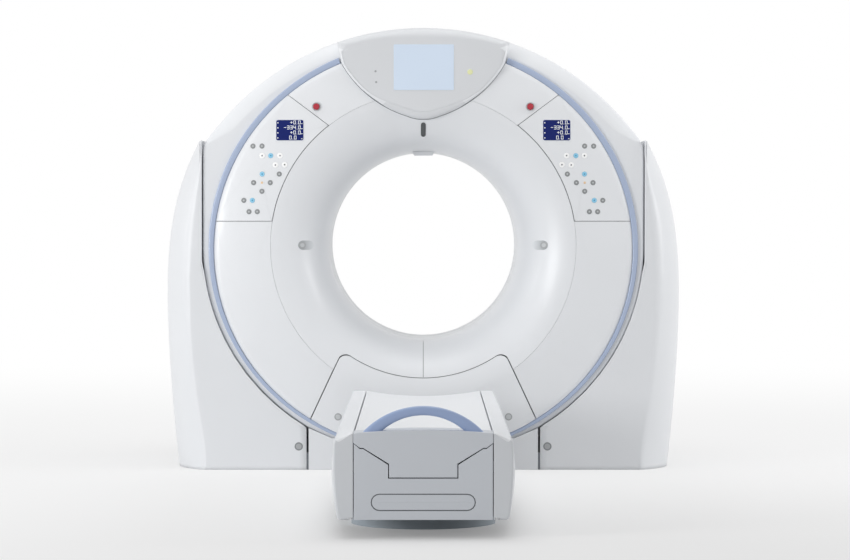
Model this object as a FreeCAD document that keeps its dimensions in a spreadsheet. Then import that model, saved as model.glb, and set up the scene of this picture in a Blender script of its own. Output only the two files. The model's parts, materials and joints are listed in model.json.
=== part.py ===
import FreeCAD, Part
import math
import os
from types import SimpleNamespace

import Sketcher

# CT scanner: tilting gantry with its rotor, and a lifting patient couch.
# Millimetres. +Z up, +Y along the bore from the couch side to the rear, +X to the viewer's right
# when facing the couch side. The origin is on the floor under the middle of the bore.

doc = FreeCAD.newDocument("CtScanner")
sheet = doc.addObject("Spreadsheet::Sheet", "Dims")
nodes = []


# ---------------------------------------------------------------- sizes that carry their formula

class Size:
    """A length together with the sheet formula that gives it."""

    def __init__(self, value, text):
        self.value = float(value)
        self.text = text

    def join(self, other, sign, value):
        return Size(value, f"({self.text} {sign} {size(other).text})")

    def __add__(self, other):
        return self.join(other, "+", self.value + size(other).value)

    def __sub__(self, other):
        return self.join(other, "-", self.value - size(other).value)

    def __mul__(self, other):
        return self.join(other, "*", self.value * size(other).value)

    def __truediv__(self, other):
        return self.join(other, "/", self.value / size(other).value)

    def __radd__(self, other):
        return size(other) + self

    def __rsub__(self, other):
        return size(other) - self

    def __rmul__(self, other):
        return size(other) * self

    def __neg__(self):
        return size(0) - self


def size(number):
    """Wraps a bare number, and leaves a Size as it is."""
    if isinstance(number, Size):
        return number
    return Size(number, f"({float(number):.10g})")


def root(number):
    number = size(number)
    return Size(math.sqrt(number.value), f"sqrt({number.text})")


def leg(long_side, side):
    """The other short side of a right triangle."""
    return root(size(long_side) * long_side - size(side) * side)


def hypotenuse(one, two):
    return root(size(one) * one + size(two) * two)


def in_order(one, two):
    """Two ends of a span, the lower one first."""
    return (one, two) if size(one).value < size(two).value else (two, one)


def make_sheet(table):
    """Writes the driving dimensions to the sheet and returns them as named sizes."""
    found = {}
    for row, (name, number) in enumerate(table, start=1):
        sheet.set(f"A{row}", name)
        sheet.set(f"B{row}", str(number))
        sheet.setAlias(f"B{row}", name)
        found[name] = Size(number, f"Dims.{name}")
    doc.recompute()
    return SimpleNamespace(**found)


d = make_sheet([
    # gantry as a whole
    ("axis_height", 915),
    ("bore_radius", 390),
    ("body_half_width", 900),
    ("body_half_depth", 425),
    ("sweep_radius", 895),
    ("seat_gap", 0.3),
    ("seam_gap", 2),
    ("swing_gap", 6),
    # hood and lower casing
    ("hood_radius", 1083),
    ("hood_drop", 190),
    ("hood_shoulder", 62),
    ("casing_wall", 8),
    ("seam_drop", 8),
    ("seam_half_height", 862),
    # light ring and front face
    ("ring_half_width", 877),
    ("ring_half_height", 843),
    ("ring_band", 25),
    ("ring_depth", 12),
    ("crease_radius", 622),
    ("face_depth", 470),
    ("face_arc", 1160),
    ("trumpet_radius", 260),
    ("cover_wall", 8),
    ("inlay_depth", 4),
    ("window_half_width", 62),
    ("window_wall", 3),
    # console
    ("console_front", 480),
    ("console_arc", 1088),
    ("console_drop", 200),
    ("screen_width", 244),
    ("screen_height", 185),
    # control panels
    ("display_width", 117),
    ("display_height", 89),
    ("key_radius", 10.5),
    ("stop_radius", 13),
    ("stop_travel", 4),
    # stand
    ("stand_front", 440),
    ("stand_split", 472),
    ("stand_wall", 8),
    ("floor_gap", 4),
    ("trunnion_radius", 45),
    ("bearing_radius", 100),
    ("beam_height", 70),
    ("gantry_bolt_x", 785),
    ("gantry_bolt_y", 345),
    ("anchor_radius", 9),
    # rotor
    ("rotor_radius", 815),
    ("rotor_hub", 430),
    ("rotor_face", 70),
    ("rotor_plate", 40),
    ("race_radius", 499.7),
    ("hub_end", 208),
    ("rotor_hole_ring", 727),
    ("rotor_hole_radius", 30),
    # couch
    ("couch_foot", 3000),
    ("couch_head", 760),
    ("couch_top", 344),
    ("couch_wall", 8),
    ("cradle_half_width", 227),
    ("skirt_bottom", 62),
    ("keel_half_width", 110.7),
    ("keel_bottom", 199),
    ("end_cap_length", 120),
    ("shelf_height", 254),
    ("plinth_half_width", 244),
    ("plinth_height", 56),
    ("pedestal_start", 1030),
    ("pedestal_end", 1930),
    ("pedestal_half_width", 180),
    ("skirt_wall", 4),
    ("skirt_step", 10),
    ("column_half_width", 110),
    ("column_wall", 8),
    ("couch_bolt_x", 140),
    ("couch_bolt_y", 420),
])


# ---------------------------------------------------------------- small modelling helpers

def bind(item, prop, number):
    """Ties a property to the sheet."""
    item.setExpression(prop, size(number).text)


def place(item, x=0, y=0, z=0):
    for axis, number in (("x", x), ("y", y), ("z", z)):
        bind(item, f"Placement.Base.{axis}", number)


def block(label, x, y, z):
    """A box between two corners, given as (low, high) for each axis."""
    box = doc.addObject("Part::Box", label)
    bind(box, "Length", size(x[1]) - x[0])
    bind(box, "Width", size(y[1]) - y[0])
    bind(box, "Height", size(z[1]) - z[0])
    place(box, x[0], y[0], z[0])
    return box


def rod(label, axis, radius, span, first=0, second=0):
    """A round bar along an axis. first and second place it on the two other axes, in X, Y, Z order."""
    bar = doc.addObject("Part::Cylinder", label)
    bind(bar, "Radius", radius)
    bind(bar, "Height", size(span[1]) - span[0])
    turns = {"X": ((0, 1, 0), 90), "Y": ((1, 0, 0), -90), "Z": ((0, 0, 1), 0)}
    direction, angle = turns[axis]
    bar.Placement.Rotation = FreeCAD.Rotation(FreeCAD.Vector(*direction), angle)
    where = {"X": (span[0], first, second), "Y": (first, span[0], second), "Z": (first, second, span[0])}
    place(bar, *where[axis])
    return bar


def oval(label, half_width, half_height, y):
    """An upright elliptical prism through the bore axis plane, with its centre at the seam's centre."""
    edge = doc.addObject("Part::Ellipse", f"{label}_edge")
    bind(edge, "MajorRadius", half_width)
    bind(edge, "MinorRadius", half_height)
    edge.Placement.Rotation = FreeCAD.Rotation(FreeCAD.Vector(1, 0, 0), 90)
    place(edge, 0, y[0], d.axis_height - d.seam_drop)
    prism = doc.addObject("Part::Extrusion", label)
    prism.Base = edge
    prism.DirMode = "Custom"
    prism.Dir = FreeCAD.Vector(0, 1, 0)
    bind(prism, "LengthFwd", size(y[1]) - y[0])
    prism.Solid = True
    return prism


def cut(label, base, *tools):
    """The base without the tools."""
    for number, tool in enumerate(tools):
        result = doc.addObject("Part::Cut", label if number == len(tools) - 1 else f"{label}_step")
        result.Base = base
        result.Tool = tool
        base = result
    return base


def fuse(label, *shapes):
    result = doc.addObject("Part::MultiFuse", label)
    result.Shapes = list(shapes)
    return result


def common(label, *shapes):
    result = doc.addObject("Part::MultiCommon", label)
    result.Shapes = list(shapes)
    return result


def new_body(label, x=0, y=0, z=0):
    body = doc.addObject("PartDesign::Body", label)
    place(body, x, y, z)
    return body


def new_sketch(body, plane, offset=0):
    """A sketch on one of the body's own origin planes, moved along its normal."""
    sketch = body.newObject("Sketcher::SketchObject", f"{body.Label}_sketch")
    sketch.AttachmentSupport = [(next(f for f in body.Origin.OriginFeatures if f.Role == plane), "")]
    sketch.MapMode = "FlatFace"
    bind(sketch, "AttachmentOffset.Base.z", offset)
    return sketch


def draw_loop(sketch, points):
    """A closed outline through (x, y) corners. A third value makes the edge that leaves the corner an
    arc of that radius: positive bulges to the right of the direction of travel, negative to the left."""
    corners = [(size(p[0]), size(p[1]), size(p[2]) if len(p) > 2 else None) for p in points]
    first = sketch.GeometryCount
    starts = []
    for number, (x, y, radius) in enumerate(corners):
        ahead = corners[(number + 1) % len(corners)]
        here = FreeCAD.Vector(x.value, y.value, 0)
        there = FreeCAD.Vector(ahead[0].value, ahead[1].value, 0)
        if radius is None:
            sketch.addGeometry(Part.LineSegment(here, there))
            starts.append((1, 2))
            continue
        half = (there - here) * 0.5
        side = FreeCAD.Vector(-half.y, half.x, 0).normalize()
        if radius.value < 0:
            side = side * -1
        centre = here + half + side * math.sqrt(radius.value ** 2 - half.Length ** 2)
        angles = [math.atan2(p.y - centre.y, p.x - centre.x) for p in (here, there)]
        turned = radius.value < 0
        if turned:
            angles.reverse()
        circle = Part.Circle(centre, FreeCAD.Vector(0, 0, 1), abs(radius.value))
        sketch.addGeometry(Part.ArcOfCircle(circle, angles[0], angles[1]))
        starts.append((2, 1) if turned else (1, 2))
    count = len(corners)
    for number in range(count):
        ahead = (number + 1) % count
        sketch.addConstraint(Sketcher.Constraint(
            "Coincident", first + number, starts[number][1], first + ahead, starts[ahead][0]))
    for number, (x, y, radius) in enumerate(corners):
        point = (first + number, starts[number][0])
        for kind, number_here in (("DistanceX", x), ("DistanceY", y)):
            row = sketch.addConstraint(Sketcher.Constraint(kind, -1, 1, *point, number_here.value))
            sketch.setExpression(f"Constraints[{row}]", number_here.text)
        if radius is not None:
            row = sketch.addConstraint(Sketcher.Constraint("Radius", first + number, abs(radius.value)))
            sketch.setExpression(f"Constraints[{row}]", f"abs({radius.text})")


def turned_piece(label, points, **where):
    """A body of revolution about Y. Points are (radius, depth)."""
    body = new_body(label, z=where.get("z", d.axis_height), x=where.get("x", 0))
    sketch = new_sketch(body, "XY_Plane")
    draw_loop(sketch, points)
    spin = body.newObject("PartDesign::Revolution", f"{label}_turn")
    spin.Profile = sketch
    spin.ReferenceAxis = (sketch, ["V_Axis"])
    spin.Angle = where.get("angle", 360)
    spin.Midplane = "angle" in where
    return body


def prism_y(label, points, y, z=0):
    """An outline in X and Z, carried along Y."""
    body = new_body(label, z=z)
    sketch = new_sketch(body, "XZ_Plane", -size(y[1]))
    draw_loop(sketch, points)
    pad = body.newObject("PartDesign::Pad", f"{label}_pad")
    pad.Profile = sketch
    bind(pad, "Length", size(y[1]) - y[0])
    return body


def prism_x(label, points, x, z=0):
    """An outline in Y and Z, carried along X."""
    body = new_body(label, z=z)
    sketch = new_sketch(body, "YZ_Plane", x[0])
    draw_loop(sketch, points)
    pad = body.newObject("PartDesign::Pad", f"{label}_pad")
    pad.Profile = sketch
    bind(pad, "Length", size(x[1]) - x[0])
    return body


def prism_z(label, points, z):
    """A plan outline, carried up."""
    body = new_body(label)
    sketch = new_sketch(body, "XY_Plane", z[0])
    draw_loop(sketch, points)
    pad = body.newObject("PartDesign::Pad", f"{label}_pad")
    pad.Profile = sketch
    bind(pad, "Length", size(z[1]) - z[0])
    return body


def loft(label, plane, sections):
    """A loft through (offset, outline) sections on one origin plane."""
    body = new_body(label)
    sketches = []
    for offset, points in sections:
        sketch = new_sketch(body, plane, offset)
        draw_loop(sketch, points)
        sketches.append(sketch)
    skin = body.newObject("PartDesign::AdditiveLoft", f"{label}_loft")
    skin.Profile = sketches[0]
    skin.Sections = sketches[1:]
    skin.Ruled = False
    return body


def mirror_x(points):
    """The same outline on the other side of the middle plane, still running the same way round."""
    count = len(points)
    mirrored = []
    for number in range(count):
        corner = points[-number]
        before = points[(-number - 1) % count]
        bend = (before[2],) if len(before) > 2 else ()
        mirrored.append((-size(corner[0]), corner[1]) + bend)
    return mirrored


def node(item, label=None):
    """Marks an object as a piece of the scanner."""
    if label:
        item.Label = label
    nodes.append(item)
    return item


# ---------------------------------------------------------------- surfaces that several pieces share

def crease_depth(depth):
    """How far forward the trumpet's offset surface is at the crease circle."""
    reach = leg(d.trumpet_radius - depth, d.bore_radius + d.trumpet_radius - d.crease_radius)
    return reach + trumpet_centre()


def trumpet_centre():
    """Depth of the centre of the trumpet's arc in front of the middle plane."""
    return d.face_depth - leg(d.trumpet_radius, d.bore_radius + d.trumpet_radius - d.crease_radius)


def skin_band(label, near, far):
    """The front surface of the gantry between two depths under it, from the bore to past the light
    ring. Other pieces are cut from it, so that they all lie in one surface."""
    rim = d.body_half_width
    points = [
        (d.bore_radius + near, -trumpet_centre(), d.trumpet_radius - near),
        (d.crease_radius, -crease_depth(near), d.face_arc),
        (rim, -(d.body_half_depth - near)),
        (rim, -(d.body_half_depth - far), -d.face_arc),
        (d.crease_radius, -crease_depth(far), -(d.trumpet_radius - far)),
        (d.bore_radius + far, -trumpet_centre()),
    ]
    return turned_piece(label, points)


def low_trim(label, radius):
    """Everything that stays clear of the floor while the body tilts."""
    wheel = rod(f"{label}_wheel", "X", radius, (-1300, 1300), 0, d.axis_height)
    upper = block(f"{label}_upper", (-1300, 1300), (-700, 700), (d.axis_height - 200, d.axis_height + 1200))
    return fuse(label, wheel, upper)


def casing_form(label, inset, corner):
    """The outline of the tilting body: a round hood with upright sides over an oval bowl."""
    radius = d.hood_radius - inset
    depth = d.body_half_depth - inset
    middle = d.axis_height - d.seam_drop
    hood = turned_piece(f"{label}_hood", [
        (0, -depth), (radius - corner, -depth), (radius, corner - depth),
        (radius, depth - corner), (radius - corner, depth), (0, depth)]
        if inset.value else [
        (0, -depth), (radius - corner, -depth, corner), (radius, corner - depth),
        (radius, depth - corner, corner), (radius - corner, depth), (0, depth)],
        z=d.axis_height - d.hood_drop)
    half = d.body_half_width - inset
    slab = block(f"{label}_slab", (-half, half), (-depth, depth), (middle, middle + 1200))
    top = common(f"{label}_top", hood, slab)
    bowl = oval(f"{label}_bowl", half, d.seam_half_height - inset, (-depth, depth))
    below = block(f"{label}_below", (-half, half), (-depth, depth), (0, middle))
    bottom = common(f"{label}_bottom", bowl, below)
    whole = fuse(f"{label}_whole", top, bottom)
    return common(label, whole, low_trim(f"{label}_trim", d.sweep_radius - inset))


def swing_radius(x):
    """Radius about the tilt axis that the lower body reaches at a distance from the middle plane."""
    share = size(x) / d.body_half_width
    drop = d.seam_half_height * leg(1, share) + d.seam_drop
    return hypotenuse(d.body_half_depth + 5, drop) + d.swing_gap


SWING_STATIONS = (500, 428, 360, 300, 240, 180, 130, 90, 55, 30, 15)  # inwards from the body's side


def stand_inner(extra=0):
    """Distance from the middle plane to the upright inner wall of the stand, or to a point beyond it."""
    return d.body_half_width + d.swing_gap + extra


def swing_form(label, extra, side):
    """The room that the body sweeps as it tilts, as one turned form about the tilt axis. At the
    upright sides it clears the edges that swing past the front of the stand. Extra thickens it, for
    the wall of a cover around it."""
    flat = d.sweep_radius + d.swing_gap + extra
    inner = stand_inner(extra)
    points = [(0, 0), (inner, 0), (inner, d.stand_front + d.swing_gap * 2 + extra)]
    for inwards in reversed(SWING_STATIONS):
        x = d.body_half_width - inwards
        points.append((x, swing_radius(x) + extra))
    points += [(d.body_half_width - 528, flat), (0, flat)]
    if side < 0:
        points = mirror_x(points)
    body = new_body(label, z=d.axis_height)
    sketch = new_sketch(body, "XY_Plane")
    draw_loop(sketch, points)
    spin = body.newObject("PartDesign::Revolution", f"{label}_turn")
    spin.Profile = sketch
    spin.ReferenceAxis = (sketch, ["H_Axis"])
    spin.Angle = 360
    return body


# ---------------------------------------------------------------- stand, fixed to the floor

def make_floor_frame():
    """Welded beams between the two pedestals, with anchor plates inside the covers."""
    back = d.stand_front - d.stand_wall - d.seat_gap
    front = back - 40
    far = d.body_half_width - 15
    near = far - 50
    height = (0, d.beam_height)
    pieces = []
    for side in (-1, 1):
        pieces.append(block("long_beam", in_order(side * near, side * far), (-back, back), height))
        outside = in_order(side * far, side * stand_inner(66))
        pieces.append(block("foot_block", outside, (-310, 310), height))
        pieces.append(block("cross_beam", (-far, far), in_order(side * front, side * back), height))
        for end in (-1, 1):
            across = in_order(side * (d.gantry_bolt_x - 45), side * (near + 1))
            along = in_order(end * (d.gantry_bolt_y - 45), end * (front + 1))
            pieces.append(block("anchor_plate", across, along, (0, 12)))
    holes = []
    for x in (-d.gantry_bolt_x, d.gantry_bolt_x):
        for y in (-d.gantry_bolt_y, d.gantry_bolt_y):
            holes.append(rod("anchor_hole", "Z", d.anchor_radius, (-1, 20), x, y))
    node(cut("floor_frame", fuse("floor_frame_blank", *pieces), fuse("floor_frame_holes", *holes)))


def make_pedestal(label, side):
    """Steel upright that carries the tilt bearing, with a lightening window."""
    x = in_order(side * stand_inner(16), side * stand_inner(66))
    top = d.bearing_radius + 25
    outline = [(-300, d.beam_height - d.axis_height), (300, d.beam_height - d.axis_height),
               (top, -40), (top, 30, top + 5), (-top, 30), (-top, -40)]
    web = prism_x(f"{label}_web", outline, x, d.axis_height)
    window = prism_x(f"{label}_window", [(-200, -780), (200, -780), (110, -220), (-110, -220)],
                     (size(x[0]) - 1, size(x[1]) + 1), d.axis_height)
    seat = rod(f"{label}_seat", "X", d.bearing_radius, (x[0] - 1, x[1] + 1), 0, d.axis_height)
    node(cut(label, web, window, seat))


def make_bearing(label, side):
    """Tilt bearing housing, a flanged ring in the pedestal."""
    near = stand_inner(d.stand_wall + d.seat_gap)
    far = stand_inner(78)
    span = in_order(side * near, side * far)
    ring = rod(f"{label}_ring", "X", d.bearing_radius, span, 0, d.axis_height)
    flange_at = in_order(side * stand_inner(66), side * far)
    flange = rod(f"{label}_flange", "X", d.bearing_radius + 22, flange_at, 0, d.axis_height)
    through = (span[0] - 1, span[1] + 1)
    hole = rod(f"{label}_hole", "X", d.trunnion_radius + d.seat_gap, through, 0, d.axis_height)
    node(cut(label, fuse(f"{label}_blank", ring, flange), hole))


def make_tilt_gearmotor():
    """Worm gearbox on the left bearing, with its motor hanging below."""
    across = (-stand_inner(118), -stand_inner(78))
    case = block("gearbox_case", across, (-90, 90), (d.axis_height - 100, d.axis_height + 75))
    drop = (d.axis_height - 330, d.axis_height - 100)
    motor = rod("gearbox_motor", "Z", 28, drop, -stand_inner(106), 55)
    reach = (-stand_inner(108), -stand_inner(77))
    hole = rod("gearbox_hole", "X", d.trunnion_radius + d.seat_gap, reach, 0, d.axis_height)
    node(cut("tilt_gearmotor", fuse("gearmotor_blank", case, motor), hole))


STAND_SECTIONS = (
    # height, reach of the front face and outermost reach past the inner wall
    (4, -9, 108),
    (330, 37, 140),
    (780, 65, 156),
    (1100, 31, 118),
    (1345, 3, 21),
)


def stand_outline(front, outer, inset):
    """Plan of a side cover: flat front, curved corner, flat side, and the same at the rear."""
    corner_start = d.stand_front - inset
    flat = size(200)
    inner = d.stand_split if inset.value == 0 else d.stand_split - 5
    reach = stand_inner(front) - inset
    side = stand_inner(outer) - inset
    across = side - reach
    along = corner_start - flat
    rise = across * 0.26
    chord = across * across + along * along
    arc = chord / (rise * 8) + rise / 2
    return [(inner, -corner_start), (reach, -corner_start, arc), (side, -flat),
            (side, flat, arc), (reach, corner_start), (inner, corner_start)]


def make_side_cover(label, side):
    """Moulded cover round a pedestal: a hollow shell whose inner wall follows the swing of the body."""
    turn = (lambda points: points) if side > 0 else mirror_x
    outer = loft(f"{label}_outer", "XY_Plane", [
        (z, turn(stand_outline(front, reach, size(0)))) for z, front, reach in STAND_SECTIONS])
    middle_sections = [section for section in STAND_SECTIONS if 300 < section[0] < 1200]
    inner_sections = [(-2, -9, 108)] + middle_sections + [(1240, 16, 69)]
    inner = loft(f"{label}_inner", "XY_Plane", [
        (z, turn(stand_outline(front, reach, d.stand_wall))) for z, front, reach in inner_sections])
    swing = swing_form(f"{label}_swing", size(0), side)
    swing_wall = swing_form(f"{label}_swing_wall", d.stand_wall, side)
    edge = stand_inner()
    high = (d.axis_height - d.seam_drop, d.axis_height + 600)
    above = block(f"{label}_above", (0, edge) if side > 0 else (-edge, 0), (-600, 600), high)
    edge = stand_inner(d.stand_wall)
    above_wall = block(f"{label}_above_wall", (0, edge) if side > 0 else (-edge, 0), (-600, 600),
                       (d.axis_height - d.seam_drop - d.stand_wall, d.axis_height + 600))
    hollow = cut(f"{label}_hollow", inner, swing_wall, above_wall)
    span = in_order(side * stand_inner(-26), side * stand_inner(24))
    hole = rod(f"{label}_shaft_hole", "X", d.trunnion_radius + 15, span, 0, d.axis_height)
    node(cut(label, outer, swing, above, hollow, hole))


def make_base_cover(label, side):
    """Low panel between the side covers, with its top edge cut to the swing of the body."""
    half = d.stand_split - 3
    front = -d.stand_front if side < 0 else d.stand_front - d.stand_wall
    panel = block(f"{label}_panel", (-half, half), (front, front + d.stand_wall), (d.floor_gap, 190))
    right = swing_form(f"{label}_swing_right", size(0), 1)
    left = swing_form(f"{label}_swing_left", size(0), -1)
    node(cut(label, panel, right, left))


def make_cover_screws():
    """Cap screws of the side covers."""
    caps = []
    for x in (-509, 507):
        caps.append(rod("cover_screw", "Y", 17, (-d.stand_front - 2, -d.stand_front), x, 96))
    node(fuse("cover_screws", *caps))


# ---------------------------------------------------------------- tilting body: structure

def make_tilt_frame():
    """Ring plate with side arms and the two trunnions, one casting."""
    rim = d.seam_half_height - 12
    ring = rod("tilt_ring", "Y", rim, (160, 200), 0, d.axis_height)
    arms = [ring]
    for side in (-1, 1):
        near, far = in_order(side * (rim - 10), side * (d.body_half_width - 16))
        arms.append(block("tilt_lug", (near, far), (-110, 200), (d.axis_height - 120, d.axis_height + 120)))
        pin_end = stand_inner(107 if side < 0 else 78)
        pin_near, pin_far = in_order(side * (d.body_half_width - 20), side * pin_end)
        arms.append(rod("trunnion", "X", d.trunnion_radius, (pin_near, pin_far), 0, d.axis_height))
    hole = rod("tilt_ring_hole", "Y", 560, (100, 300), 0, d.axis_height)
    rotor_room = rod("tilt_rotor_room", "Y", rim - 12, (-200, 160), 0, d.axis_height)
    node(cut("tilt_frame", fuse("tilt_frame_blank", *arms), hole, rotor_room))


def make_main_bearing():
    """Outer race with the ring of the direct drive, held in the tilt frame."""
    inner = d.race_radius + d.seat_gap
    node(turned_piece("main_bearing", [
        (inner, 130), (560, 130), (560, 111.5), (640, 111.5),
        (640, 160), (560, 160), (560, 200), (inner, 200)]))


def make_brush_block():
    """Holder of the slip ring's brushes, on the rear of the tilt frame."""
    foot = block("brush_foot", (-70, 70), (200, 226), (d.axis_height - 660, d.axis_height - 565))
    arm = block("brush_arm", (-50, 50), (214, 300), (d.axis_height - 640, d.axis_height - 484))
    tips = [block("brush_tip", (-30, 30), y, (d.axis_height - 485, d.axis_height - 480.5))
            for y in ((214, 230), (242, 260), (272, 290))]
    node(fuse("brush_block", foot, arm, *tips))


# ---------------------------------------------------------------- tilting body: covers

def make_hood_casing():
    """Outer casing band: hood, upright sides and oval bowl in one, open at the front and rear."""
    outer = casing_form("casing_outer", size(0), d.hood_shoulder)
    inner = casing_form("casing_inner", d.casing_wall, size(50))
    margin = d.ring_band - 1
    opening = oval("casing_opening", d.ring_half_width - margin, d.ring_half_height - margin, (-600, 600))
    pin_hole = rod("casing_pin_hole", "X", d.trunnion_radius + d.seat_gap, (-1000, 1000), 0, d.axis_height)
    node(cut("hood_casing", outer, inner, opening, pin_hole))


def within_ring(label, shape, margin, y):
    """The part of a face that lies a margin inside the light ring's edge and clear of the floor."""
    disc = oval(f"{label}_oval", d.ring_half_width - margin, d.ring_half_height - margin, y)
    return common(label, shape, disc, low_trim(f"{label}_trim", d.sweep_radius - 1))


def make_front_cover(pockets):
    """Slightly crowned ring between the crease and the light ring, with pockets for the inlays."""
    inner = d.crease_radius + d.seat_gap
    wall = d.cover_wall
    rim = d.body_half_width
    ring = turned_piece("front_cover_ring", [
        (inner, -d.face_depth, d.face_arc), (rim, -d.body_half_depth),
        (rim, wall - d.body_half_depth, -d.face_arc), (inner, wall - d.face_depth)])
    blank = within_ring("front_cover_blank", ring, d.ring_band + d.seat_gap, (-600, -300))
    node(cut("front_cover", blank, *pockets))


def make_rear_cover():
    inner = d.crease_radius + d.seat_gap
    wall = d.cover_wall
    rim = d.body_half_width
    ring = turned_piece("rear_cover_ring", [
        (inner, d.face_depth), (inner, d.face_depth - wall),
        (rim, d.body_half_depth - wall), (rim, d.body_half_depth)])
    node(within_ring("rear_cover", ring, d.ring_band - 1 + d.seat_gap, (300, 600)))


def funnel_points(side):
    """Section of a funnel: a flared mouth that runs into the bore tube."""
    wall = d.cover_wall
    bend = d.trumpet_radius
    mouth = [
        (d.bore_radius, -d.window_half_width),
        (d.bore_radius + wall, -d.window_half_width),
        (d.bore_radius + wall, -trumpet_centre(), bend - wall),
        (d.crease_radius, -crease_depth(wall)),
        (d.crease_radius, -crease_depth(size(0)), -bend),
        (d.bore_radius, -trumpet_centre()),
    ]
    if side > 0:
        count = len(mouth)
        flipped = []
        for number in range(count):
            corner = mouth[-number]
            before = mouth[(-number - 1) % count]
            bend_here = (before[2],) if len(before) > 2 else ()
            flipped.append((corner[0], -size(corner[1])) + bend_here)
        return flipped
    return mouth


def make_front_funnel(pocket):
    """Flared mouth of the bore, split at the bottom."""
    mouth = turned_piece("front_funnel_blank", funnel_points(-1))
    split = block("funnel_split", (4, 6), (-500, -150), (d.axis_height - 640, d.axis_height - 300))
    slot_depth = turned_piece("funnel_split_depth", [
        (d.bore_radius - 20, -trumpet_centre() + 1, d.trumpet_radius + 20),
        (d.crease_radius, -crease_depth(size(-20))),
        (d.crease_radius, -crease_depth(size(3)), -(d.trumpet_radius - 3)),
        (d.bore_radius + 3, -trumpet_centre() + 1)])
    groove = common("funnel_groove", split, slot_depth)
    node(cut("front_funnel", mouth, pocket, groove))


def make_rear_funnel():
    node(turned_piece("rear_funnel", funnel_points(1)))


def make_scan_window():
    """Thin clear ring that closes the bore over the beam."""
    half = d.window_half_width
    node(turned_piece("scan_window", [
        (d.bore_radius, -half), (d.bore_radius + d.window_wall, -half),
        (d.bore_radius + d.window_wall, half), (d.bore_radius, half)]))


def make_light_ring(console_room):
    """Light guide round the face, open under the console."""
    front = (-d.body_half_depth - d.ring_depth, -d.body_half_depth)
    outer = oval("light_ring_outer", d.ring_half_width, d.ring_half_height, front)
    band = d.ring_band
    inner = oval("light_ring_inner", d.ring_half_width - band, d.ring_half_height - band, front)
    loop = cut("light_ring_band", outer, inner)
    trimmed = common("light_ring_trimmed", loop, low_trim("light_ring_trim", d.sweep_radius - 1))
    node(cut("light_ring", trimmed, console_room))


# ---------------------------------------------------------------- tilting body: console and inlays

def console_outline(grow):
    """Shield with an arched top, flanks that draw in and a round tip. Heights are above the axis."""
    top = leg(d.console_arc + grow, 352 + grow) - d.console_drop
    return [
        (-(66 + grow / 2), 530 - grow, size(170) + grow), (66 + grow / 2, 530 - grow, size(454) + grow),
        (333 + grow, 745 - grow), (352 + grow, top, d.console_arc + grow),
        (-(352 + grow), top), (-(333 + grow), 745 - grow, size(454) + grow)]


def make_console():
    """Housing of the top display, which sits on the face."""
    depth = (-d.console_front, -d.body_half_depth)
    shield = prism_y("console_shield", console_outline(size(0)), depth, d.axis_height)
    face = skin_band("console_seat", -d.seat_gap, size(120))
    node(cut("console_housing", shield, face))
    low = d.axis_height + 634
    half = d.screen_width / 2
    front = -d.console_front
    node(block("console_screen", (2 - half, 2 + half), (front - 2, front), (low, low + d.screen_height)))
    node(rod("status_lamp", "Y", 11, (front - 3, front), 190, d.axis_height + 707))


def stadium(half_length, half_height, x, z):
    """Outline of a slot with round ends, wide or tall."""
    if half_length > half_height:
        reach = half_length - half_height
        return [(x - reach, z - half_height), (x + reach, z - half_height, half_height + 0.01),
                (x + reach, z + half_height), (x - reach, z + half_height, half_height + 0.01)]
    reach = half_height - half_length
    return [(x + half_length, z - reach), (x + half_length, z + reach, half_length + 0.01),
            (x - half_length, z + reach), (x - half_length, z - reach, half_length + 0.01)]


def make_laser_windows(raised):
    """Small windows of the alignment lasers, set on the flare of the mouth."""
    upper = prism_y("upper_window_prism", stadium(10, 29, 0, 475), (-600, -300), d.axis_height)
    node(common("upper_laser_window", raised, upper))
    left = prism_y("left_window_prism", stadium(31, 19, -480, 3), (-600, -300), d.axis_height)
    right = prism_y("right_window_prism", stadium(31, 19, 478, 3), (-600, -300), d.axis_height)
    node(common("side_laser_windows", raised, fuse("side_window_prisms", left, right)))


def make_sensor_tab():
    """Small wedge at the top of the bore."""
    low = d.bore_radius - 17
    high = d.bore_radius + 5
    outline = [(-38, low), (38, low), (51, high), (-51, high)]
    wedge = prism_y("sensor_tab_wedge", outline, (-225, -165), d.axis_height)
    bore = rod("sensor_tab_bore", "Y", d.bore_radius - d.seat_gap, (-300, 0), 0, d.axis_height)
    node(common("sensor_tab", wedge, bore))


def panel_outline(side, gap):
    """Control panel: from the crease out past the light ring. The slanted edge has slope 3 to 4."""
    crease = d.crease_radius + 3 + gap
    low = size(100) + gap
    tip_x = size(385) + gap * 1.2
    tip_z = leg(crease, tip_x)
    points = [(-tip_x, tip_z), (-(tip_x + 212), tip_z + 159 - gap), (-880, tip_z + 159 - gap), (-880, low),
              (-leg(crease, low), low, -crease)]
    return points if side < 0 else mirror_x(points)


def service_outline(gap):
    """Lower service panel: slanted sides, round upper corners and an edge that follows the bore."""
    arch = size(538) + gap
    foot = size(495) - gap
    shoulder = size(346) - gap
    bend = size(26)
    corner = shoulder - 33
    rise = leg(arch, corner)
    return [(-foot, -775), (foot, -775), (shoulder, -457, bend), (corner, -rise, -arch),
            (-corner, -rise, bend), (-shoulder, -457)]


KEYS = (
    # centre of each key on the left panel: across from the middle plane, above the axis
    (694, 407), (657, 407), (656, 368), (621, 368), (583, 368), (602, 330), (564, 331), (656, 293),
    (586, 293), (691, 258), (657, 258), (623, 258), (657, 223), (731, 186), (696, 186), (710, 140), (676, 140),
)


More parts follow.
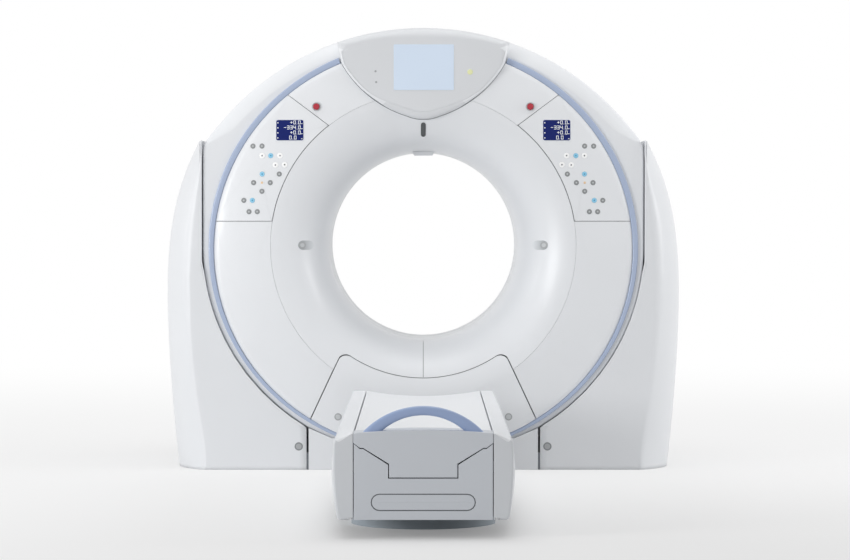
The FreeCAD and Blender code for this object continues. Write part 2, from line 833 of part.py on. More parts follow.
def make_control_panel(name, side, blank, raised):
    """Panel inlay with its display and its mat of moulded keys."""
    outline = prism_y(f"panel_prism_{name}", panel_outline(side, d.seam_gap), (-600, -300), d.axis_height)
    inlay = common(f"panel_blank_{name}", blank, outline)
    node(within_ring(f"control_panel_{name}", inlay, d.ring_band + d.seam_gap, (-600, -300)))
    half = d.display_width / 2
    middle = side * 543
    window = block(f"display_block_{name}", (middle - half, middle + half), (-600, -300),
                   (d.axis_height + 427, d.axis_height + 427 + d.display_height))
    node(common(f"display_{name}", raised, window))
    keys = [rod(f"key_{name}", "Y", d.key_radius, (-600, -300), side * x, d.axis_height + z) for x, z in KEYS]
    node(common(f"key_mat_{name}", raised, fuse(f"keys_{name}", *keys)))


def stop_place(side):
    """Emergency stop buttons stand above the panels, across and above the axis."""
    return side * 435, d.axis_height + 567


def make_stop_button(name, side):
    """Mushroom head on a stem that passes through the front cover."""
    x, z = stop_place(side)
    seat = d.face_depth
    head = rod(f"stop_head_{name}", "Y", d.stop_radius, (-(seat + 7), -seat), x, z)
    stem = rod(f"stop_stem_{name}", "Y", 6, (-(seat + 1), -(seat - 30)), x, z)
    node(fuse(f"stop_button_{name}", head, stem))


def stop_hole(name, side):
    x, z = stop_place(side)
    return rod(f"stop_hole_{name}", "Y", 6.5, (-500, -440), x, z)


def make_face():
    """The front of the tilting body: cover, mouth, inlays and console."""
    pocket_band = skin_band("pocket_band", size(-5), d.inlay_depth)
    inlay_band = skin_band("inlay_band", size(0), d.inlay_depth - d.seat_gap)
    raised_band = skin_band("raised_band", size(-1.8), -d.seat_gap)
    pockets = []
    for name, side in (("left", -1), ("right", 1)):
        room = prism_y(f"panel_room_{name}", panel_outline(side, size(0)), (-600, -300), d.axis_height)
        pockets.append(common(f"panel_pocket_{name}", pocket_band, room))
        pockets.append(stop_hole(name, side))
        make_control_panel(name, side, inlay_band, raised_band)
        make_stop_button(name, side)
    service_room = prism_y("service_room", service_outline(size(0)), (-600, -300), d.axis_height)
    service_pocket = common("service_pocket", pocket_band, service_room)
    service_prism = prism_y("service_prism", service_outline(d.seam_gap), (-600, -300), d.axis_height)
    inlay = common("service_blank", inlay_band, service_prism)
    node(within_ring("service_panel", inlay, d.ring_band + d.seam_gap, (-600, -300)))
    caps = [rod("service_cap", "Y", 15, (-600, -300), x, d.axis_height - 697) for x in (-348, 348)]
    node(common("service_panel_caps", raised_band, fuse("service_cap_rods", *caps)))
    make_front_cover(pockets + [service_pocket])
    make_front_funnel(service_pocket)
    make_laser_windows(raised_band)
    make_console()
    room = prism_y("console_room", console_outline(d.seam_gap), (-600, -400), d.axis_height)
    make_light_ring(room)


# ---------------------------------------------------------------- rotor

def make_rotor_drum():
    """Drum plate with its hub, which runs in the main bearing, and a stiffening rim."""
    back = d.rotor_face + d.rotor_plate
    body = turned_piece("rotor_drum", [
        (d.rotor_hub, d.rotor_face), (d.rotor_radius, d.rotor_face), (d.rotor_radius, back - 0.5 + 30),
        (d.rotor_radius - 25, back - 0.5 + 30), (d.rotor_radius - 25, back), (d.race_radius, back),
        (d.race_radius, d.hub_end), (d.rotor_hub, d.hub_end)])
    sketch = new_sketch(body, "XZ_Plane", -(back + 5))
    sketch.addGeometry(Part.Circle(FreeCAD.Vector(0, 0, 0), FreeCAD.Vector(0, 0, 1), 30))
    sketch.addConstraint(Sketcher.Constraint("DistanceX", -1, 1, 0, 3, 0))
    for kind, number, *point in (("DistanceY", d.rotor_hole_ring, 0, 3), ("Radius", d.rotor_hole_radius, 0)):
        ends = (-1, 1, *point) if kind == "DistanceY" else tuple(point)
        row = sketch.addConstraint(Sketcher.Constraint(kind, *ends, number.value))
        sketch.setExpression(f"Constraints[{row}]", number.text)
    hole = body.newObject("PartDesign::Pocket", "rotor_hole")
    hole.Profile = sketch
    bind(hole, "Length", d.rotor_plate + 10)
    doc.recompute()
    holes = body.newObject("PartDesign::PolarPattern", "rotor_holes")
    holes.Originals = [hole]
    holes.Axis = (sketch, ["N_Axis"])
    holes.Angle = 360
    holes.Occurrences = 12
    body.Tip = holes
    node(body)


def make_slip_ring():
    """Slip ring with three tracks, behind the hub."""
    inner = d.rotor_hub
    outer = size(480)
    node(turned_piece("slip_ring", [
        (inner, d.hub_end), (outer, d.hub_end), (outer, 232), (outer - 8, 232), (outer - 8, 240),
        (outer, 240), (outer, 262), (outer - 8, 262), (outer - 8, 270), (outer, 270), (outer, 292),
        (inner, 292)]))


def make_xray_tube():
    """Tube housing with end caps, its axis along the bore."""
    face = d.rotor_face
    case = rod("tube_case", "Y", 105, (-150, 50), 0, d.axis_height + 690)
    caps = [rod("tube_cap", "Y", 80, (-175, -150), 0, d.axis_height + 690),
            block("tube_bracket", (-95, 95), (40, face), (d.axis_height + 600, d.axis_height + 780))]
    port = block("tube_port", (-50, 50), (-45, 45), (d.axis_height + 565, d.axis_height + 620))
    node(fuse("xray_tube", case, port, *caps))


def make_collimator():
    """Collimator box under the tube port, open over the fan of the beam."""
    face = d.rotor_face
    box = block("collimator_box", (-130, 130), (-60, face), (d.axis_height + 450, d.axis_height + 565))
    outline = [(-100, 440), (100, 440), (30, 570), (-30, 570)]
    fan = prism_y("collimator_fan", outline, (-20, 20), d.axis_height)
    node(cut("collimator", box, fan))


def make_detector_bank():
    """Arc of detector modules, centred on the focal spot, on the far side of the bore."""
    outline = [(1060, -75), (1135, -75), (1135, d.rotor_face), (1060, d.rotor_face)]
    bank = turned_piece("detector_bank", outline, z=d.axis_height + 560, angle=52)
    bank.Placement.Rotation = FreeCAD.Rotation(FreeCAD.Vector(0, 1, 0), 90)
    node(bank)


def make_generator():
    face = d.rotor_face
    box = block("generator_box", (-780, -540), (-160, face), (d.axis_height - 60, d.axis_height + 250))
    lids = block("generator_lid", (-765, -560), (-172, -160), (d.axis_height - 40, d.axis_height + 230))
    node(fuse("hv_generator", box, lids))


def make_tube_cooler():
    """Oil to air cooler with fins."""
    face = d.rotor_face
    core = block("cooler_core", (560, 760), (-60, face), (d.axis_height - 60, d.axis_height + 260))
    fins = []
    for step in range(8):
        low = d.axis_height - 50 + step * 40
        fins.append(block("cooler_fin", (570, 750), (-150, -60), (low, low + 8)))
    node(fuse("tube_cooler", core, *fins))


def make_balance_weight():
    """Balance plates beside the detector bank."""
    face = d.rotor_face
    plates = [block("balance_plate", (side * 620 - 70, side * 620 + 70), (-60, face),
                    (d.axis_height - 420, d.axis_height - 260)) for side in (-1, 1)]
    node(fuse("balance_weight", *plates))


# ---------------------------------------------------------------- couch: base and lift

def make_plinth():
    """Floor base with bowed ends, a well for the lift, and the fixed skirt of the lift."""
    half = d.plinth_half_width
    start = size(2516)
    end = size(1010)
    outline = [(-half, -start, size(250)), (half, -start), (half, -end + 10), (half - 40, -end + 50),
               (-half + 40, -end + 50), (-half, -end + 10)]
    blank = prism_z("plinth_blank", outline, (0, d.plinth_height))
    room = 4 * d.skirt_step - 4
    well = block("plinth_well", (-(d.pedestal_half_width + room), d.pedestal_half_width + room),
                 (-(d.pedestal_end + room), -(d.pedestal_start - room)), (12, 100))
    hollow = block("plinth_hollow", (-half + 14, half - 14), (-2500, -2000), (-1, d.plinth_height - 6))
    skirt = skirt_tube("fixed_skirt", 0, 12, 234)
    holes = []
    for x in (-d.couch_bolt_x, d.couch_bolt_x):
        for y in (-1480 - d.couch_bolt_y, -1480 + d.couch_bolt_y):
            holes.append(rod("couch_anchor_hole", "Z", d.anchor_radius, (-1, 20), x, y))
    body = cut("plinth_body", blank, well, hollow, fuse("plinth_holes", *holes))
    node(fuse("couch_plinth", body, skirt))


def skirt_tube(label, step, low, high):
    """Rectangular tube of the lift's cover. Each step outwards is one stage."""
    half = d.pedestal_half_width + step * d.skirt_step
    start = -(d.pedestal_end + step * d.skirt_step)
    end = -(d.pedestal_start - step * d.skirt_step)
    wall = d.skirt_wall
    outer = block(f"{label}_out", (-half, half), (start, end), (low, high))
    inner = block(f"{label}_in", (-half + wall, half - wall), (start + wall, end - wall), (low - 1, high + 1))
    return cut(f"{label}_tube", outer, inner)


COLUMN_MIDDLE = -1480


def column_tube(label, step, low, high):
    """Square tube of the lifting column. Each step inwards is one stage, with a sliding clearance."""
    half = d.column_half_width - step * (d.column_wall + 0.5)
    outer = block(f"{label}_out", (-half, half), (COLUMN_MIDDLE - half, COLUMN_MIDDLE + half), (low, high))
    clear = half - d.column_wall
    along = (COLUMN_MIDDLE - clear, COLUMN_MIDDLE + clear)
    inner = block(f"{label}_in", (-clear, clear), along, (low - 1, high + 1))
    return cut(f"{label}_tube", outer, inner)


def make_column_base():
    tube = column_tube("lift_base", 0, 12, 232)
    motor = block("lift_motor", (-70, 70), (-1370, -1200), (12, 150))
    node(fuse("lift_column_base", tube, motor))


def make_lift_stage(label, step, low, high):
    """One telescopic stage: guide tube, top plate and skirt."""
    guide = column_tube(f"{label}_guide", step, low, high)
    skirt = skirt_tube(f"{label}_skirt", step, low, high)
    half = d.pedestal_half_width + step * d.skirt_step - 1
    start = -(d.pedestal_end + step * d.skirt_step - 1)
    end = -(d.pedestal_start - step * d.skirt_step + 1)
    plate = block(f"{label}_plate", (-half, half), (start, end), (high - 3, high))
    clear = d.column_half_width - step * (d.column_wall + 0.5) - 1
    along = (COLUMN_MIDDLE - clear, COLUMN_MIDDLE + clear)
    window = block(f"{label}_window", (-clear, clear), along, (high - 4, high + 1))
    node(fuse(label, guide, skirt, cut(f"{label}_deck", plate, window)))


def make_column_top():
    node(column_tube("lift_column_top", 3, 24, d.shelf_height - 6), "lift_column_top")


# ---------------------------------------------------------------- couch: frame and covers

def make_couch_frame():
    """Folded steel frame: a channel for the keel at the foot, a deck over the lift, and its skirt."""
    side = d.cradle_half_width + 0.7
    top = d.shelf_height
    floor = size(188)
    outer = d.cradle_half_width - 92
    channel = prism_y("frame_channel", [
        (-side, top - 40), (-side + 6, top - 40), (-side + 6, top - 6), (-outer, top - 6), (-outer, floor),
        (outer, floor), (outer, top - 6), (side - 6, top - 6), (side - 6, top - 40), (side, top - 40), (side, top),
        (outer - 6, top), (outer - 6, floor + 6), (-outer + 6, floor + 6), (-outer + 6, top), (-side, top)],
        (-(d.couch_foot - 10), -1975))
    deck = prism_y("frame_deck", [
        (-side, top - 40), (-side + 6, top - 40), (-side + 6, top - 6), (side - 6, top - 6),
        (side - 6, top - 40), (side, top - 40), (side, top), (-side, top)],
        (-1975, -(d.couch_head + 9)))
    bulkhead = block("frame_bulkhead", (-outer, outer), (-1981, -1975), (floor, top))
    skirt = skirt_tube("frame_skirt", 3, 18, top - 5)
    node(fuse("couch_frame", channel, deck, bulkhead, skirt))


def make_runners():
    """Guide rails of the carriage."""
    rails = []
    for side in (-1, 1):
        middle = d.cradle_half_width - 47
        across = in_order(side * (middle - 10), side * (middle + 10))
        along = (-(d.couch_foot - 15), -(d.couch_head + 15))
        rails.append(block("runner", across, along, (d.shelf_height, d.shelf_height + 20.7)))
    node(fuse("runners", *rails))


def couch_side_section(reach, edge, inset):
    """Section of a side cover: top flange, rounded edge and a side that draws in at the bottom."""
    top = d.couch_top - inset
    low = d.skirt_bottom - (1 if inset.value else 0)
    inner = d.cradle_half_width + 1 + inset
    out = d.cradle_half_width + reach - inset
    high = size(edge) - inset
    return [(inner, low), (out - 15, low), (out, high - 12, size(15)), (out - 12, high), (inner, top)]


def couch_stations(inset):
    """Where the sections of a side cover stand: distance from the gantry's middle plane, reach past
    the cradle and height of the outer edge."""
    return (
        (d.couch_foot - inset, 64, 321),
        (d.couch_foot - 700, 89, 332),
        (d.couch_head + inset, 54, 342),
    )


def make_couch_side(label, side):
    """Side cover of the couch: bowed in plan, closed at both ends and open below."""
    turn = (lambda points: points) if side > 0 else mirror_x
    outer = loft(f"{label}_outer", "XZ_Plane", [
        (y, turn(couch_side_section(reach, edge, size(0)))) for y, reach, edge in couch_stations(0)])
    ends = couch_stations(d.couch_wall)
    inner = loft(f"{label}_inner", "XZ_Plane", [
        (y, turn(couch_side_section(reach, edge, d.couch_wall))) for y, reach, edge in ends])
    node(cut(label, outer, inner))


def notch_points(edge, gap):
    """The stepped vee with its keel, from the left edge to the right. Gap moves it down and out."""
    keel = d.keel_half_width + gap
    step = d.cradle_half_width - 32.4
    half = [(keel, d.keel_bottom - gap), (keel, 243.4 - gap), (step, 295 - gap), (step + 10.4, 295 - gap),
            (edge, 311.5 - gap)]
    return [(-x, z) for x, z in reversed(half)] + half


def make_end_cover():
    """Foot end of the couch body, notched for the end of the couch top."""
    edge = d.cradle_half_width + 1 - d.seat_gap
    foot = [(edge, d.skirt_bottom), (-edge, d.skirt_bottom)]
    plate = prism_y("end_cover_plate", notch_points(edge, size(3)) + foot,
                    (-d.couch_foot, -(d.couch_foot - d.couch_wall)))
    back = -(d.couch_foot - 4)
    room = prism_y("end_plate_room", stadium(170, 28, 0, 119), (-(d.couch_foot + 10), back))
    node(cut("end_cover", plate, room))
    node(prism_y("end_plate", stadium(168, 26, 0, 119), (-d.couch_foot, back)))


# ---------------------------------------------------------------- couch: travelling top

def make_carriage():
    """Plate under the cradle that runs on the rails."""
    low = d.shelf_height + 21
    half = d.cradle_half_width - 35
    node(block("carriage", (-half, half), (-(d.couch_foot - 130), -1700), (low, 285)))


def make_cradle():
    """Long hollowed table top."""
    edge = d.cradle_half_width - 0.7
    step = d.cradle_half_width - 32.4
    node(prism_y("cradle", [
        (-step, 285), (step, 285), (step + 10.4, 297), (edge, 313), (edge, d.couch_top - 1, -1218),
        (-edge, d.couch_top - 1),
        (-edge, 313), (-(step + 10.4), 297)], (-(d.couch_foot - d.end_cap_length) + 0.3, -d.couch_head)))


def end_cap_outline(inset):
    edge = d.cradle_half_width - inset
    top = d.couch_top - 1 - inset
    return notch_points(edge, -inset) + [(edge, top, size(2600)), (-edge, top)]


def make_end_cap():
    """Foot end of the couch top, with the keel that hides the carriage."""
    end = d.end_cap_length - d.couch_foot
    block_form = prism_y("end_cap_form", end_cap_outline(size(0)), (-d.couch_foot, end))
    room = prism_y("end_cap_room", end_cap_outline(size(6)), (6 - d.couch_foot, end + 1))
    node(cut("end_cap", block_form, room))


def make_handle():
    """Bow handle that stands on the end cap."""
    bow = prism_y("handle_bow", [
        (-201, 342), (-142.2, 342, -198.5), (142.2, 342), (201, 342, 271.3)],
        (-(d.couch_foot - 15), -(d.couch_foot - 45)))
    along = (-d.couch_foot, -(d.couch_foot - d.end_cap_length))
    cap = prism_y("handle_seat", end_cap_outline(size(0)), along)
    node(cut("pull_handle", bow, cap))


# ---------------------------------------------------------------- build, check and write

def make_all():
    make_floor_frame()
    for name, side in (("left", -1), ("right", 1)):
        make_pedestal(f"pedestal_{name}", side)
        make_bearing(f"tilt_bearing_{name}", side)
        make_side_cover(f"side_cover_{name}", side)
    make_tilt_gearmotor()
    make_base_cover("base_cover_front", -1)
    make_base_cover("base_cover_rear", 1)
    make_cover_screws()
    make_tilt_frame()
    make_main_bearing()
    make_brush_block()
    make_hood_casing()
    make_face()
    make_sensor_tab()
    make_scan_window()
    make_rear_funnel()
    make_rear_cover()
    make_rotor_drum()
    make_slip_ring()
    make_xray_tube()
    make_collimator()
    make_detector_bank()
    make_generator()
    make_tube_cooler()
    make_balance_weight()
    make_plinth()
    make_column_base()
    make_lift_stage("lift_stage_1", 1, 16, 238)
    make_lift_stage("lift_stage_2", 2, 20, 243)
    make_column_top()
    make_couch_frame()
    make_runners()
    make_couch_side("couch_side_left", -1)
    make_couch_side("couch_side_right", 1)
    make_end_cover()
    make_carriage()
    make_cradle()
    make_end_cap()
    make_handle()


def write_nodes():
    failed = [item.Label for item in doc.Objects if {"Invalid", "Error"} & set(item.State)]
    for item in nodes:
        shape = item.Shape
        if shape.isNull() or not shape.isValid() or not shape.Solids:
            failed.append(item.Label)
    if failed:
        raise RuntimeError(f"failed: {sorted(set(failed))}")
    os.makedirs("parts", exist_ok=True)
    for item in nodes:
        item.Shape.exportStep(f"parts/{item.Label}.step")
        box = item.Shape.BoundBox
        spans = ((box.XMin, box.XMax), (box.YMin, box.YMax), (box.ZMin, box.ZMax))
        sides = "  ".join(f"{low:8.1f} {high:8.1f}" for low, high in spans)
        print(f"{item.Label:22s} solids {len(item.Shape.Solids):3d}  litres {item.Shape.Volume / 1e6:8.3f}  {sides}")


make_all()
doc.recompute()
write_nodes()
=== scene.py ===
import bpy
import bmesh
import json
import math
import numpy as np
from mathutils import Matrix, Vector


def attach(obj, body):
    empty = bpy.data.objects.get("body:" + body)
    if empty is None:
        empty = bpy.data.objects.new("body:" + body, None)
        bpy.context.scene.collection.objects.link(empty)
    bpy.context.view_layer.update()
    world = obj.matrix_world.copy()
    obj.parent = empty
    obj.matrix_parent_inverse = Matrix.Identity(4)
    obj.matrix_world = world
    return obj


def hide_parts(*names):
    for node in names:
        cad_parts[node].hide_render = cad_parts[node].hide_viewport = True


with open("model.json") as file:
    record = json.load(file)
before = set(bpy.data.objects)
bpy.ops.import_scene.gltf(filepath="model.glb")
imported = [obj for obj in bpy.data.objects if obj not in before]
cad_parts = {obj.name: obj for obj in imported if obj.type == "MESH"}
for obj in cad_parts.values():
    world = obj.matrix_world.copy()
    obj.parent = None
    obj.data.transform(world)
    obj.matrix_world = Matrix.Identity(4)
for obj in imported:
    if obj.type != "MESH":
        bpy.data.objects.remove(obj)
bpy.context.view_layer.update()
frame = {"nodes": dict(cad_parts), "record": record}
print("frame loaded:", len(frame["nodes"]), "nodes")

# Sizes in the dictionaries are millimetres. Heights of gantry pieces are above the bore's axis.
mm = 0.001
axisHeight = 915.0
gantry = {
    "boreRadius": 390, "creaseRadius": 622, "faceDepth": 470, "trumpetRadius": 260,
    "bodyHalfWidth": 900, "bodyHalfDepth": 425, "faceArc": 1160, "sweepRadius": 895,
    "ovalDrop": 8, "ovalWidth": 877, "ovalHeight": 843, "ringBand": 25,
}


def gridQuads(rows, cols, wrapRows=False, wrapCols=False):
    # corners of a grid's quads: (i, j), (i, j + 1), (i + 1, j + 1), (i + 1, j)
    number = np.arange(rows * cols).reshape(rows, cols)
    if wrapRows:
        number = np.vstack([number, number[:1]])
    if wrapCols:
        number = np.hstack([number, number[:, :1]])
    corners = [number[:-1, :-1], number[:-1, 1:], number[1:, 1:], number[1:, :-1]]
    return np.stack(corners, -1).reshape(-1, 4)


def addObject(name, data):
    # an object in the scene for a mesh, lamp or camera
    made = bpy.data.objects.new(name, data)
    bpy.context.scene.collection.objects.link(made)
    return made


def makePiece(name, grids, body, material, replaced=(), sharp=32, polygons=(), clear=None):
    # Joins grids of points into one mesh: each grid is (points, wrapRows, wrapCols, material number).
    # Points that coincide are merged, which closes seams and poles. Polygons are flat faces of any
    # outline, and clear gives the points moved out of a hole, and which of them lie in it. Edges are
    # sharp where faces meet at more than the sharp angle.
    points = np.concatenate([grid[0].reshape(-1, 3) for grid in grids] + list(polygons))
    faces, kinds, starts = [], [], [0]
    for grid in grids:
        rows, cols = grid[0].shape[:2]
        quads = gridQuads(rows, cols, grid[1], grid[2]) + starts[-1]
        faces += quads.tolist()
        kind = np.asarray(grid[3] if len(grid) > 3 else 0)
        kind = kind[:rows - 1].ravel() if kind.ndim else kind
        kinds += np.broadcast_to(kind, len(quads)).tolist()
        starts.append(starts[-1] + rows * cols)
    if clear:
        points, inside = clear(points)
        kept = ~inside[np.array(faces)].all(1)
        faces = np.array(faces)[kept].tolist()
        kinds = np.array(kinds)[kept].tolist()
    for polygon in polygons:
        faces.append(list(range(starts[-1], starts[-1] + len(polygon))))
        kinds.append(0)
        starts.append(starts[-1] + len(polygon))
    mesh = bpy.data.meshes.new(name)
    mesh.from_pydata(points * mm, [], faces)
    mesh.polygons.foreach_set("material_index", kinds)
    work = bmesh.new()
    work.from_mesh(mesh)
    bmesh.ops.remove_doubles(work, verts=work.verts, dist=2e-6)
    bmesh.ops.dissolve_degenerate(work, edges=work.edges, dist=1e-7)
    bmesh.ops.recalc_face_normals(work, faces=work.faces)
    work.to_mesh(mesh)
    work.free()
    mesh.shade_smooth()
    mesh.set_sharp_from_angle(angle=math.radians(sharp))
    piece = addObject(name, mesh)
    for one in material if isinstance(material, (list, tuple)) else [material]:
        mesh.materials.append(one)
    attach(piece, body)
    if replaced:
        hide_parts(*replaced)
    return piece


def ease(value):
    # from 0 to 1 with level ends: u^2 (3 - 2 u), where u is the value held between 0 and 1
    u = np.clip(value, 0, 1)
    return u * u * (3 - 2 * u)


def joinRuns(*runs):
    # one closed outline from runs of (x, z) points, without repeated points
    points = np.concatenate([np.atleast_2d(run) for run in runs]).astype(float)
    apart = np.linalg.norm(points - np.roll(points, 1, 0), axis=1) > 1e-4
    points = points[apart]
    area = (points[:, 0] * np.roll(points[:, 1], -1) - np.roll(points[:, 0], -1) * points[:, 1]).sum()
    return points if area > 0 else points[::-1]


def straight(first, last, step=12.0):
    # points of a straight run, p + t (q - p)
    first, last = np.array(first, float), np.array(last, float)
    count = max(2, int(np.linalg.norm(last - first) / step) + 1)
    return first + np.linspace(0, 1, count)[:, None] * (last - first)


def turn(centre, radius, start, stop, step=5.0):
    # points of an arc, c + r (sin a, cos a), with angles in degrees from straight up, clockwise
    angle = np.radians(np.arange(start, stop + 1e-6, step))
    angle = np.append(angle, math.radians(stop))
    return np.stack([centre[0] + radius * np.sin(angle), centre[1] + radius * np.cos(angle)], 1)


def inset(loop, distance):
    # moves a counter-clockwise outline inwards along mitred normals: p + d (n1 + n2) / (1 + n1.n2)
    edge = np.roll(loop, -1, 0) - loop
    edge = edge / np.linalg.norm(edge, axis=1, keepdims=True)
    normal = np.stack([-edge[:, 1], edge[:, 0]], 1)
    before = np.roll(normal, 1, 0)
    return loop + distance * (normal + before) / (1 + (normal * before).sum(1, keepdims=True))


def roundEdge(radius, count):
    # a rounded edge as pairs, r (1 - cos t) and r (1 - sin t), with t from 0 to 90 degrees
    t = np.radians(np.linspace(0, 90, count))
    return np.column_stack([radius * (1 - np.cos(t)), radius * (1 - np.sin(t))])


def polar(points):
    # (x, z) to (radius, angle from straight up, clockwise)
    return np.stack([np.hypot(points[:, 0], points[:, 1]), np.arctan2(points[:, 0], points[:, 1])], 1)


def flat(pairs):
    # (radius, angle) to (x, z)
    return np.stack([pairs[:, 0] * np.sin(pairs[:, 1]), pairs[:, 0] * np.cos(pairs[:, 1])], 1)


def atDepth(loop, depth):
    # an outline in (x, z above the axis) at one depth, or at a depth for each point: (x, y, z + h)
    return np.column_stack([loop[:, 0], np.broadcast_to(depth, len(loop)), loop[:, 1] + axisHeight])


def atHeight(loop, z):
    # an outline in plan, (x, y), at one height
    return np.column_stack([loop[:, 0], loop[:, 1], np.full(len(loop), float(z))])


def roundAxis(radius, angle, depth):
    # points round the bore's axis, (r sin a, y, h + r cos a). The depth may be a function of (x, z).
    x, z = radius * np.sin(angle), radius * np.cos(angle)
    y = depth(x, z) if callable(depth) else np.broadcast_to(depth, x.shape)
    return np.column_stack([x, y, axisHeight + z])


def shrunk(loop, share, bent):
    # an outline drawn in to its middle: m + s (p - m), in (x, z), or in (radius, angle) when bent
    pairs = polar(loop) if bent else loop
    if bent and np.ptp(pairs[:, 1]) > 3.2:
        pairs[:, 1] %= 2 * np.pi
    middle = (pairs.min(0) + pairs.max(0)) / 2
    drawn = middle + share * (pairs - middle)
    return flat(drawn) if bent else drawn


def plate(loop, front, edge=1.5, wall=8.0, bent=False, steps=12):
    # A closed plate with a rounded rim. Each row is the outline, drawn in by a, at front(x, z) + b,
    # where (a, b) run through the rounded edge. The faces shrink to a pole, in (radius, angle) when the
    # plate is bent round the axis.
    rows = [(shrunk(loop, share, bent), wall) for share in np.linspace(0, 1, 4)]
    rows += [(inset(loop, drawn), drop) for drawn, drop in roundEdge(edge, 6)]
    rim = inset(loop, edge + 1.0)
    rows += [(shrunk(rim, share, bent), 0) for share in np.linspace(1, 0, steps) ** 0.8]
    return np.stack([atDepth(row, front(row[:, 0], row[:, 1]) + drop) for row, drop in rows]), False, True


def pointedEnds(points):
    # closes the ends of a section carried along a path: each end's points meet in their middle
    middle = points[:, [0, -1]].mean(0, keepdims=True).repeat(len(points), 0)
    return np.concatenate([middle[:, :1], points, middle[:, 1:]], 1)


def mirrored(grid):
    # the same grid on the other side of the middle plane
    return (grid[0] * [-1, 1, 1],) + tuple(grid[1:])


def dome(x, z, front, radius, height, rim=0.35, cols=24):
    # A round button: at share s = (1 - rim) cos t + rim of its radius it stands h (0.4 + 0.6 sin t)
    # over the surface under it. Its foot is sunk 3 mm into that surface.
    angle = np.linspace(0, 2 * np.pi, cols, endpoint=False)
    rows = []
    section = [(0, -3), (1, -3), (1, height * 0.4)]
    for t in np.linspace(0.3, np.pi / 2, 5):
        section.append((np.cos(t) * (1 - rim) + rim, height * (0.4 + 0.6 * np.sin(t))))
    for share, rise in section + [(0, height)]:
        across, up = x + share * radius * np.cos(angle), z + share * radius * np.sin(angle)
        rows.append(np.column_stack([across, front(across, up) - rise, axisHeight + up]))
    return np.stack(rows), False, True


def toLinear(hexText):
    # sRGB hex to linear: c / 12.92 near black, ((c + 0.055) / 1.055)^2.4 above
    parts = np.array([int(hexText[i:i + 2], 16) / 255 for i in (1, 3, 5)])
    linear = np.where(parts <= 0.04045, parts / 12.92, ((parts + 0.055) / 1.055) ** 2.4)
    return tuple(float(x) for x in linear) + (1.0,)


def addNode(tree, kind, settings=None, links=None):
    # one node with its settings (properties or socket values) and what feeds its sockets
    made = tree.nodes.new(kind)
    for key, value in (settings or {}).items():
        if isinstance(key, str) and hasattr(made, key):
            setattr(made, key, value)
        else:
            made.inputs[key].default_value = value
    for key, source in (links or {}).items():
        tree.links.new(source, made.inputs[key])
    return made


def newMaterial(name):
    # an empty node material and its tree
    material = bpy.data.materials.new(name)
    material.use_nodes = True
    material.node_tree.nodes.clear()
    return material, material.node_tree


def skinFinish(name, colour, roughness=0.4, grainMm=1.5, grainHeightMm=0.015, **more):
    # A solid skin: 2 % cloudiness in its colour over hand-sized areas, gloss that varies a little over
    # the same areas, and a fine grain of the given spacing and height, which softens highlights.
    mottle = 0.02
    material, tree = newMaterial(name)
    place = addNode(tree, "ShaderNodeTexCoord")
    cloud = addNode(tree, "ShaderNodeTexNoise", {"Scale": 4.0, "Detail": 2.0},
                    {"Vector": place.outputs["Object"]})
    lit = [min(1.0, c * (1 + mottle)) for c in toLinear(colour)[:3]] + [1]
    dim = [c * (1 - mottle) for c in toLinear(colour)[:3]] + [1]
    tint = addNode(tree, "ShaderNodeMix", {"data_type": "RGBA", 6: dim, 7: lit}, {0: cloud.outputs["Fac"]})
    gloss = addNode(tree, "ShaderNodeMapRange", {"To Min": roughness - 0.04, "To Max": roughness + 0.04},
                    {"Value": cloud.outputs["Fac"]})
    grain = addNode(tree, "ShaderNodeTexNoise", {"Scale": 1000 / grainMm, "Detail": 2.0},
                    {"Vector": place.outputs["Object"]})
    bump = addNode(tree, "ShaderNodeBump", {"Strength": 0.3, "Distance": grainHeightMm * mm},
                   {"Height": grain.outputs["Fac"]})
    skin = addNode(tree, "ShaderNodeBsdfPrincipled", {"IOR": 1.5, **more}, {
        "Base Color": tint.outputs[2], "Roughness": gloss.outputs["Result"],
        "Normal": bump.outputs["Normal"]})
    addNode(tree, "ShaderNodeOutputMaterial", None, {"Surface": skin.outputs["BSDF"]})
    return material


